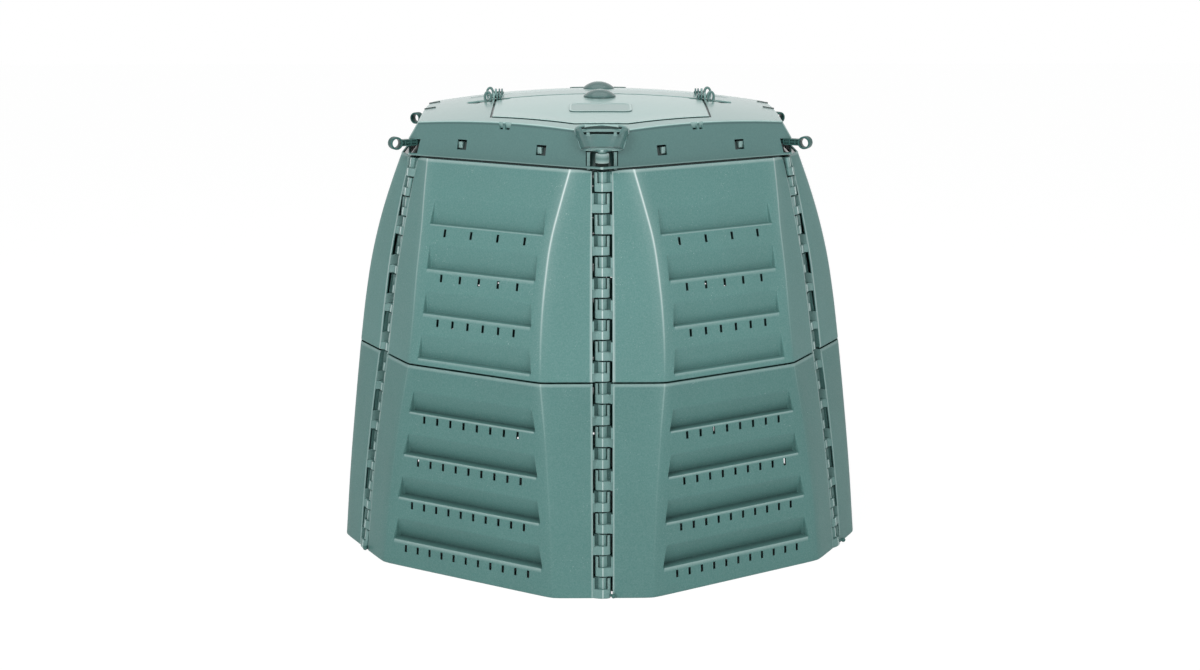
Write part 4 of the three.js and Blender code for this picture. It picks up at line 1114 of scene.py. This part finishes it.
def lid_details():
    """What stands on the lid frame, as (forms, painted light and shade): seats under the flaps, each recess's
    bar, nibs and back plate, ridges beside the slits, hinge ears, shelves under the flap pins and corner
    brackets. The seats, back plates, ridges, shelves and brackets are in painted shade; the bars, nibs and
    ears have a painted highlight."""
    seat_profile = [
        (FLAP_GAP + 3, 3.8), (FLAP_GAP + 3, 8.4), (-10, 8.4), (-10, 5.0), (-9.4, 4.4), (FLAP_GAP + 0.2, 4.4),
        (FLAP_GAP + 0.2, 3.8),
    ]
    made = evenly_painted(both(path_loop(lambda g: flap_plan(g, OPENING["hinge_side"]), seat_profile)), -0.9)
    made += evenly_painted(both(recess_bar()), 0.15)
    made += evenly_painted(both(block(0, (377.5, 383), (-48, 48), (936, 951.5))), -0.95)
    made += evenly_painted([slit_ridge(side, y) for side in (-1, 1) for y in SLITS], -0.95)
    for x in (-28, 28):
        made += evenly_painted(both(block(0, (421.5, 427), (x - 3.2, x + 3.2), (939.4, 946.6))), 0.3)
    for side in (-1, 1):
        ear = disc_bar(*sorted((side * 236.7, side * 241.4)), -HINGE["y"], HINGE["z"], HINGE["radius"])
        made += evenly_painted(both(ear), 0.3)
        shelf = block(0, (40, 114), (side * 242, side * 303), (HINGE["z"] - 21, HINGE["z"] - 17))
        made += evenly_painted(both(shelf), -0.3)
    for i in range(6):
        top = 911.5 if i % 3 == 0 else LID["rim_z"] - 3
        made += evenly_painted([block(i * STEP, (423.5, 432), (-12, 12), (LID["skirt_z"] + 15, top))], -0.2)
    return zip(*made)


class BIN_OT_lid_frame(bpy.types.Operator):
    """Build the lid frame: skirt, rim, deck, openings and seats, recesses, windows, notches and ears."""

    bl_idname = "bin.lid_frame"
    bl_label = "Lid frame"

    def execute(self, context):
        finish, nodes = material("lid"), ("lid_frame",)
        shell = combined("lid_frame_shell", lid_shell(), lid_cuts())
        lid_painted_shading(shell)
        widen_plain_sides(shell)
        add_piece("lid_shell", shell, finish, BODY, nodes=nodes, sharp=24)
        details = make_mesh("lid_details", *lid_details())
        soften(add_piece("lid_details", details, finish, BODY, nodes=nodes), 0.0006)
        add_piece("wall_tops", make_mesh("wall_tops", *wall_tops()), finish, BODY)
        wall, painted_shading = recess_wall()
        forms = both((wall, [grid_quads(*wall.shape[:2])]))
        for name, form in zip(("front", "rear"), forms):
            mesh = make_mesh(f"recess_{name}", [form], [painted_shading])
            add_piece(f"recess_{name}", mesh, finish, BODY, nodes=nodes, solid=0.002)
        return {"FINISHED"}


# Flaps


def flap_sheet():
    """The flap's top surface: columns across, rows from the hinge to the front edge, on the crowned deck.

    The front edge runs along the rim, then square across the corner. Rows near the front keep their distance
    from the edge, and the edges are rounded down.
    """
    side = OPENING["side"] - LINE_GAP
    plan = flap_plan(-LINE_GAP, 48)
    cut_half = plan[3][0]
    x = np.concatenate([
        np.linspace(0, 33, 12), [34.2, 35.0, 35.6, 36.2, 40, 46, cut_half - 1, cut_half + 2],
        np.linspace(cut_half + 8, side - 3, 22), [side - 1.4, side - 0.5, side],
    ])
    x = np.concatenate([-x[:0:-1], x])
    ax = np.abs(x)
    along_rim = (LID["rim"] * COS30 - OPENING["margin"] - LINE_GAP - ax / 2) / COS30
    front = np.where(ax <= cut_half, -plan[2][1], along_rim)
    back = np.where(ax > 205, 62.5, 48.0)
    rows = [back + s for s in (0, 0.5, 1.4, 3)]
    rows += [back + 3 + s * (front - back - 10) for s in np.linspace(0.04, 0.93, 24)]
    rows += [front - s for s in (6, 4.5, 3, 1.4, 0.5, 0, 0, 0)]
    y = -np.array(rows)
    xx = np.broadcast_to(x, y.shape)
    drop = np.zeros(y.shape)
    drop[:4] = np.array([4.0, 3.4, 2.2, 0.8])[:, None]
    drop[-5:] = np.array([0.05, 0.25, 0.7, 1.2, 4.2])[:, None]
    for col, value in ((0, 1.4), (1, 0.5), (2, 0.1)):
        for end in (col, -1 - col):
            drop[:, end] = np.maximum(drop[:, end], value)
    proud = FRONT_PROUD * np.clip(1 - (front + y) / 40, 0, 1)
    z = deck_z(xx, y) - drop + proud
    # painted reflection over the top, a painted highlight on the front edge's round, and painted shade on the
    # front face and the side edges, where the line round the flap is
    painted_shading = np.full(y.shape, 0.85)
    painted_shading[[-4, -5]] = 1.0
    painted_shading[[-1, -2]] = -0.9
    painted_shading[:, [0, -1]] = -0.9
    return np.stack([xx, y, z], -1), painted_shading


def tongue_form():
    """The lip past the flap's front edge, over the recess: it ends in an arc and lies 1 mm below the deck."""
    x = np.linspace(-35, 35, 23)
    arc = BOWL["arc_y"] - np.sqrt(BOWL["arc"] ** 2 - x**2)
    root = np.full_like(x, 379)
    rings = []
    for reach, drop in ((root, 1.0), (arc - 0.8, 1.0), (arc, 1.8), (arc, 3.2), (arc - 0.8, 4.0), (root, 4.0)):
        rings.append(np.stack([x, -reach, deck_z(x, reach) - drop], 1))
    # painted reflection, as on the deck
    return closed_loft(np.stack(rings, 1)[::-1]), np.full((23, 6), 0.8)


def dome_form():
    """The handle: a cap of a sphere on a short straight foot, in painted shade where it meets the flap and on
    its sides, with a painted highlight towards its top.
    """
    radius, height, middle_y = 36.0, 18.0, 100
    cap = height - 4.0
    sphere = (radius**2 + cap**2) / (2 * cap)
    base = deck_z(0, middle_y) - 1.2
    full = np.arcsin(radius / sphere)
    angles = np.linspace(full, 0.03, 18)
    r = np.concatenate([[radius + 0.3, radius + 0.1], sphere * np.sin(angles)])
    z = np.concatenate([[-1.5, 0.5], sphere * (np.cos(angles) - 1) + height]) + base
    turn = np.linspace(0, 2 * np.pi, 56, endpoint=False)
    up = np.broadcast_to(z[:, None], (20, 56))
    rings = np.stack([r[:, None] * np.cos(turn), r[:, None] * np.sin(turn) - middle_y, up], -1)
    painted_shading = np.zeros((20, 56))
    painted_shading[:2] = -0.7
    painted_shading[2:] = -0.3
    painted_shading[12:] = np.linspace(-0.3, 0.5, 8)[:, None]
    return closed_loft(rings), painted_shading


def plate_form():
    """The bare plate: a rounded pad that stands 2.4 mm proud of the flap, with softened edges."""
    turn = np.linspace(0, 2 * np.pi, 64, endpoint=False)
    power = 7.0
    shape = (np.abs(np.cos(turn)) ** power + np.abs(np.sin(turn)) ** power) ** (-1 / power)
    half_long, half_wide, middle_y = 68, 45, -240
    rings = []
    profile = [(0, -2), (0, 0.4), (0.1, 1.9), (1.2, 2.4), (5, 2.3), (6, 1.5), (7, 1.4), (30, 1.4), (42, 1.4)]
    for shrink, lift in profile:
        x = (half_long - shrink) * shape * np.cos(turn)
        y = middle_y + (half_wide - shrink) * shape * np.sin(turn)
        rings.append(np.column_stack([x, y, deck_z(x, y) + lift]))
    # painted shade at its foot, a painted highlight on the round of its edge and a painted reflection on its
    # top
    painted_shading = np.zeros((len(rings), 64))
    painted_shading[:2] = -0.9
    painted_shading[3:5] = 0.9
    painted_shading[5:] = 0.5
    return closed_loft(rings), painted_shading


class BIN_OT_flaps(bpy.types.Operator):
    """Build the two flaps with their domed handles, bare plates, tongues and hinge ears."""

    bl_idname = "bin.flaps"
    bl_label = "Flaps"

    def execute(self, context):
        sheet, sheet_painted_shading = flap_sheet()
        sheet_form = (sheet, [grid_quads(*sheet.shape[:2])[:, ::-1]])
        made = [dome_form(), plate_form(), tongue_form()]
        for side in (-1, 1):
            for inset in (11.7, 5.5):
                x = sorted((side * (OPENING["side"] - inset), side * (OPENING["side"] - inset + 3.6)))
                # the flaps' hinge ears, in light painted shade
                made += evenly_painted([disc_bar(*x, -HINGE["y"], HINGE["z"], HINGE["radius"])], -0.15)
        forms, painted_shading = zip(*made)
        finish = material("lid")
        for name, change in (("front", lambda form: form), ("rear", turned)):
            body = f"flap_{name}"
            mesh = make_mesh(f"flap_sheet_{name}", [change(sheet_form)], [sheet_painted_shading])
            add_piece(f"flap_sheet_{name}", mesh, finish, body, nodes=(body,), solid=0.003)
            mesh = make_mesh(f"flap_details_{name}", [change(form) for form in forms], painted_shading)
            add_piece(f"flap_details_{name}", mesh, finish, body, nodes=(body,))
        return {"FINISHED"}


# Ring pins

# Half length, half height and width of a ring, and the thickness of its band
CORNER_RING = {"long": 14, "tall": 13.8, "wide": 19, "bar": 3.8}
FLAP_RING = {"long": 9.4, "tall": 13.4, "wide": 14, "bar": 5.0}
STEM_LONG = 38


def ring_form(at, ring, flat):
    """A ring with its middle on +X: a rounded rectangle carried round an ellipse. Its hole runs level, across
    the pin, or upright where the ring lies flat."""
    sides = 44
    turn = np.linspace(0, 2 * np.pi, sides, endpoint=False)
    bar, half = ring["bar"], ring["wide"] / 2
    section = [
        (-bar + 0.5, -half), (-0.9, -half), (0, -half + 0.9), (0.25, 0), (0, half - 0.9), (-0.9, half),
        (-bar + 0.5, half), (-bar, half - 0.8), (-bar, -half + 0.8),
    ]
    rows = np.array([
        np.stack([at + (ring["long"] + grow) * np.cos(turn), np.full(sides, along),
                  (ring["tall"] + grow) * np.sin(turn)], 1)
        for grow, along in section
    ])
    if flat:
        rows = np.stack([rows[..., 0], -rows[..., 2], rows[..., 1]], -1)
    return closed_band(rows)


def stem_forms(start, end, half):
    """The corner pin's ribbed stem as (form, is it the core): two flanges, a thin core and three ribs.

    Known fault: the turn puts it on -X, across the bin from its own ring, where the opposite pin's stem
    belongs. At rest the stems stand in for each other. A turn of +90 degrees would put it on +X, as it
    should be.
    """
    lip, core = 2.6, 3.0
    bars = [
        ((start, end), core if i == 2 else half, heights)
        for i, heights in enumerate(((-half, -half + lip), (half - lip, half), (-half + lip, half - lip)))
    ]
    for share in (0.0, 0.36, 0.72):
        rib = start + share * STEM_LONG
        bars.append(((rib, rib + 3), half, (-half + 0.4, half - 0.4)))
    return [
        (moved(block(0, outs, (-wide, wide), heights), -math.pi / 2, (0, 0, 0)), wide == core)
        for outs, wide, heights in bars
    ]


def ring_pin(inner, shaft, at, ring, flat=False, stem=0.0, edge_highlight=1.0, shade=0.0):
    """A pin as (forms, painted light and shade): a round shaft and a ring along +X, and a ribbed stem if it
    has one.
    The ring's band has painted highlights on its outer edges and painted shade on its inner face, the whole
    pin is made lighter or darker by a further painted amount, and the stem's core is in painted shade.
    """
    painted_light = np.array([0.3, 0.5, 0.5, 0, 0.5, 0.5, 0.3, -0.3, -0.3])[:, None] * edge_highlight + shade
    ring_band = ring_form(at, ring, flat)
    end = at - ring["long"] + ring["bar"] * 0.6
    x = np.array([inner, inner + 0.8, inner + 1.6, end - 1.2, end])
    radii = np.array([shaft - 1.2, shaft - 0.3, shaft, shaft, shaft - 0.8])
    made = [(ring_band, np.tile(painted_light, (1, ring_band[0].shape[1])))]
    made += evenly_painted([tube(np.stack([x, 0 * x, 0 * x], 1), radii, sides=20)], shade)
    if stem:
        for form, is_core in stem_forms(end - STEM_LONG, end + 1, stem):
            made += evenly_painted([form], -0.85 if is_core else shade)
    return zip(*made)


def moved(form, turn, at):
    """A form turned about Z and moved."""
    points, faces = form
    s, c = math.sin(turn), math.cos(turn)
    matrix = np.array([[c, s, 0], [-s, c, 0], [0, 0, 1]])
    return points @ matrix + np.asarray(at, float), faces


class BIN_OT_pins(bpy.types.Operator):
    """Build the six corner ring pins and the four flap ring pins."""

    bl_idname = "bin.pins"
    bl_label = "Ring pins"

    def execute(self, context):
        finish = material("pin")
        for i, name in enumerate(CORNERS):
            flat = i % 3 == 0
            # painted light and shade: the front and rear pins are painted lighter than the side ones
            edge_highlight, shade = (1.0, 0.1) if flat else (0.5, -0.35)
            corner, light_and_shade = ring_pin(420.0, 4.5, 511.5, CORNER_RING, flat, 7.0, edge_highlight, shade)
            forms = [moved(form, i * STEP - math.pi / 2, (0, 0, PIN_Z)) for form in corner]
            mesh = make_mesh(f"ring_pin_{name}", forms, light_and_shade)
            node = f"corner_pin_{name}"
            soften(add_piece(f"ring_pin_{name}", mesh, finish, node, nodes=(node,)), 0.0005)
        # the flap pins have painted highlights on their rings' edges and light painted shade over all
        flap, light_and_shade = ring_pin(221.0, 3.0, 252.6, FLAP_RING, edge_highlight=0.9, shade=-0.2)
        for end, y in (("front", -HINGE["y"]), ("rear", HINGE["y"])):
            for side, turn in (("right", 0), ("left", math.pi)):
                name = f"{end}_{side}"
                forms = [moved(form, turn, (0, y, HINGE["z"])) for form in flap]
                mesh = make_mesh(f"flap_ring_pin_{name}", forms, light_and_shade)
                node = f"flap_pin_{name}"
                add_piece(f"flap_ring_pin_{name}", mesh, finish, node, nodes=(node,))
        return {"FINISHED"}


# Stage


def is_seen(tree):
    """1 for rays of the camera and those of a mirror or glass, which see a white studio."""
    path = add_node(tree, "ShaderNodeLightPath")
    first = add_node(
        tree, "ShaderNodeMath", [(0, path.outputs["Is Camera Ray"]), (1, path.outputs["Is Glossy Ray"])],
        operation="MAXIMUM",
    )
    return add_node(
        tree, "ShaderNodeMath", [(0, first.outputs[0]), (1, path.outputs["Is Transmission Ray"])],
        operation="MAXIMUM",
    ).outputs[0]


def studio_world():
    """A white studio: even light on the object, plain white for what the camera or a reflection sees."""
    world = bpy.data.worlds.new("studio")
    bpy.context.scene.world = world
    world.use_nodes = True
    tree = world.node_tree
    tree.nodes.clear()
    way = add_node(tree, "ShaderNodeTexCoord").outputs["Generated"]
    depth = add_node(tree, "ShaderNodeSeparateXYZ", [(0, way)]).outputs["Y"]
    level = add_node(
        tree, "ShaderNodeMapRange", [("Value", depth)], in_1=-0.7, in_2=0.3, in_3=0.7, in_4=0.08,
    ).outputs["Result"]
    light = add_node(tree, "ShaderNodeBackground", [("Strength", level)], in_Color=(1, 1, 1, 1))
    seen = add_node(tree, "ShaderNodeBackground", in_Color=(1, 1, 1, 1), in_Strength=1.0)
    mixed = add_node(
        tree, "ShaderNodeMixShader", [(0, is_seen(tree)), (1, light.outputs[0]), (2, seen.outputs[0])],
    )
    add_node(tree, "ShaderNodeOutputWorld", [("Surface", mixed.outputs[0])])


def add_lamp(name, at, aim, size, power):
    """A soft area lamp at a place, turned to its aim."""
    lamp = bpy.data.lights.new(name, "AREA")
    lamp.size = size
    lamp.energy = power
    item = bpy.data.objects.new(name, lamp)
    bpy.context.scene.collection.objects.link(item)
    item.location = at
    item.rotation_euler = (Vector(aim) - Vector(at)).to_track_quat("-Z", "Y").to_euler()


def floor_paint():
    """Pale floor paint near the object, where its shadow falls, and mostly plain white further out."""
    paint = bpy.data.materials.new("pale_floor_paint")
    paint.use_nodes = True
    tree = paint.node_tree
    tree.nodes.clear()
    body = add_node(tree, "ShaderNodeBsdfPrincipled", in_Base_Color=linear("#F4F6F5"), in_Roughness=0.9)
    white = add_node(tree, "ShaderNodeEmission", in_Color=(1, 1, 1, 1), in_Strength=1.1)
    where = add_node(tree, "ShaderNodeTexCoord").outputs["Object"]
    away = add_node(tree, "ShaderNodeVectorMath", [(0, where)], operation="LENGTH").outputs["Value"]
    outside = add_node(tree, "ShaderNodeMath", [(0, away)], operation="GREATER_THAN", in_1=0.575)
    seen = add_node(
        tree, "ShaderNodeMath", [(0, is_seen(tree)), (1, outside.outputs[0])], operation="MULTIPLY",
    )
    share = add_node(tree, "ShaderNodeMath", [(0, seen.outputs[0])], operation="MULTIPLY", in_1=0.86)
    mixed = add_node(
        tree, "ShaderNodeMixShader", [(0, share.outputs[0]), (1, body.outputs[0]), (2, white.outputs[0])],
    )
    add_node(tree, "ShaderNodeOutputMaterial", [("Surface", mixed.outputs[0])])
    return paint


class BIN_OT_stage(bpy.types.Operator):
    """Make the floor, the studio light and the camera."""

    bl_idname = "bin.stage"
    bl_label = "Stage"

    def execute(self, context):
        scene = context.scene
        scene.view_settings.view_transform = "Standard"
        studio_world()
        add_lamp("key", (-2.2, -4.0, 2.6), (0, 0, 0.7), 2.2, 68)
        add_lamp("fill", (2.0, -4.1, 2.2), (0, 0, 0.6), 2.2, 46)
        add_lamp("top", (0.0, 0.4, 4.4), (0, 0, 0.8), 3.0, 34)

        span = np.array([-14000.0, 14000.0])
        floor = make_mesh("floor", [(place(0, -span[:, None], span[None, :], -0.5), [grid_quads(2, 2)])])
        floor.materials.append(floor_paint())
        stage = bpy.data.objects.new("floor", floor)
        scene.collection.objects.link(stage)

        # The camera's place, pitch and lens come from a fit to the photograph's corners.
        camera = bpy.data.cameras.new("camera")
        camera.sensor_width = 36
        camera.lens = 51.333
        camera.clip_end = 60
        holder = bpy.data.objects.new("camera", camera)
        scene.collection.objects.link(holder)
        yaw, pitch = math.radians(0.76), math.radians(90 - 13.315)
        distance, shift, height = 3.951, 0.0021, 1.3522
        holder.location = (
            math.cos(yaw) * shift - math.sin(yaw) * distance,
            -math.sin(yaw) * shift - math.cos(yaw) * distance,
            height,
        )
        holder.rotation_euler = (pitch, 0, -yaw)
        scene.camera = holder
        return {"FINISHED"}


class BIN_PT_panel(bpy.types.Panel):
    """Lists the sizes, colours and pieces of the compost bin."""

    bl_idname = "BIN_PT_panel"
    bl_label = "Compost bin"
    bl_space_type = "VIEW_3D"
    bl_region_type = "UI"
    bl_category = "Compost bin"

    def draw(self, context):
        layout = self.layout
        for group in (context.scene.bin_sizes, context.scene.bin_colours):
            for name in group.__annotations__:
                layout.prop(group, name)
        for operator in OPERATORS:
            layout.operator(operator.bl_idname)


OPERATORS = (
    BIN_OT_stage,
    BIN_OT_lower_walls,
    BIN_OT_upper_walls,
    BIN_OT_rods,
    BIN_OT_lid_frame,
    BIN_OT_flaps,
    BIN_OT_pins,
)
CLASSES = (BinColours, BinSizes, *OPERATORS, BIN_PT_panel)


def register():
    """Register the classes and put the settings on the scene."""
    for item in CLASSES:
        bpy.utils.register_class(item)
    bpy.types.Scene.bin_colours = PointerProperty(type=BinColours)
    bpy.types.Scene.bin_sizes = PointerProperty(type=BinSizes)


def unregister():
    """Take the settings off the scene and unregister the classes."""
    del bpy.types.Scene.bin_sizes
    del bpy.types.Scene.bin_colours
    for item in reversed(CLASSES):
        bpy.utils.unregister_class(item)


def main():
    """Build the stage and every piece."""
    register()
    bpy.ops.bin.stage()
    bpy.ops.bin.lower_walls()
    bpy.ops.bin.upper_walls()
    bpy.ops.bin.rods()
    bpy.ops.bin.lid_frame()
    bpy.ops.bin.flaps()
    bpy.ops.bin.pins()


if __name__ == "__main__":
    main()
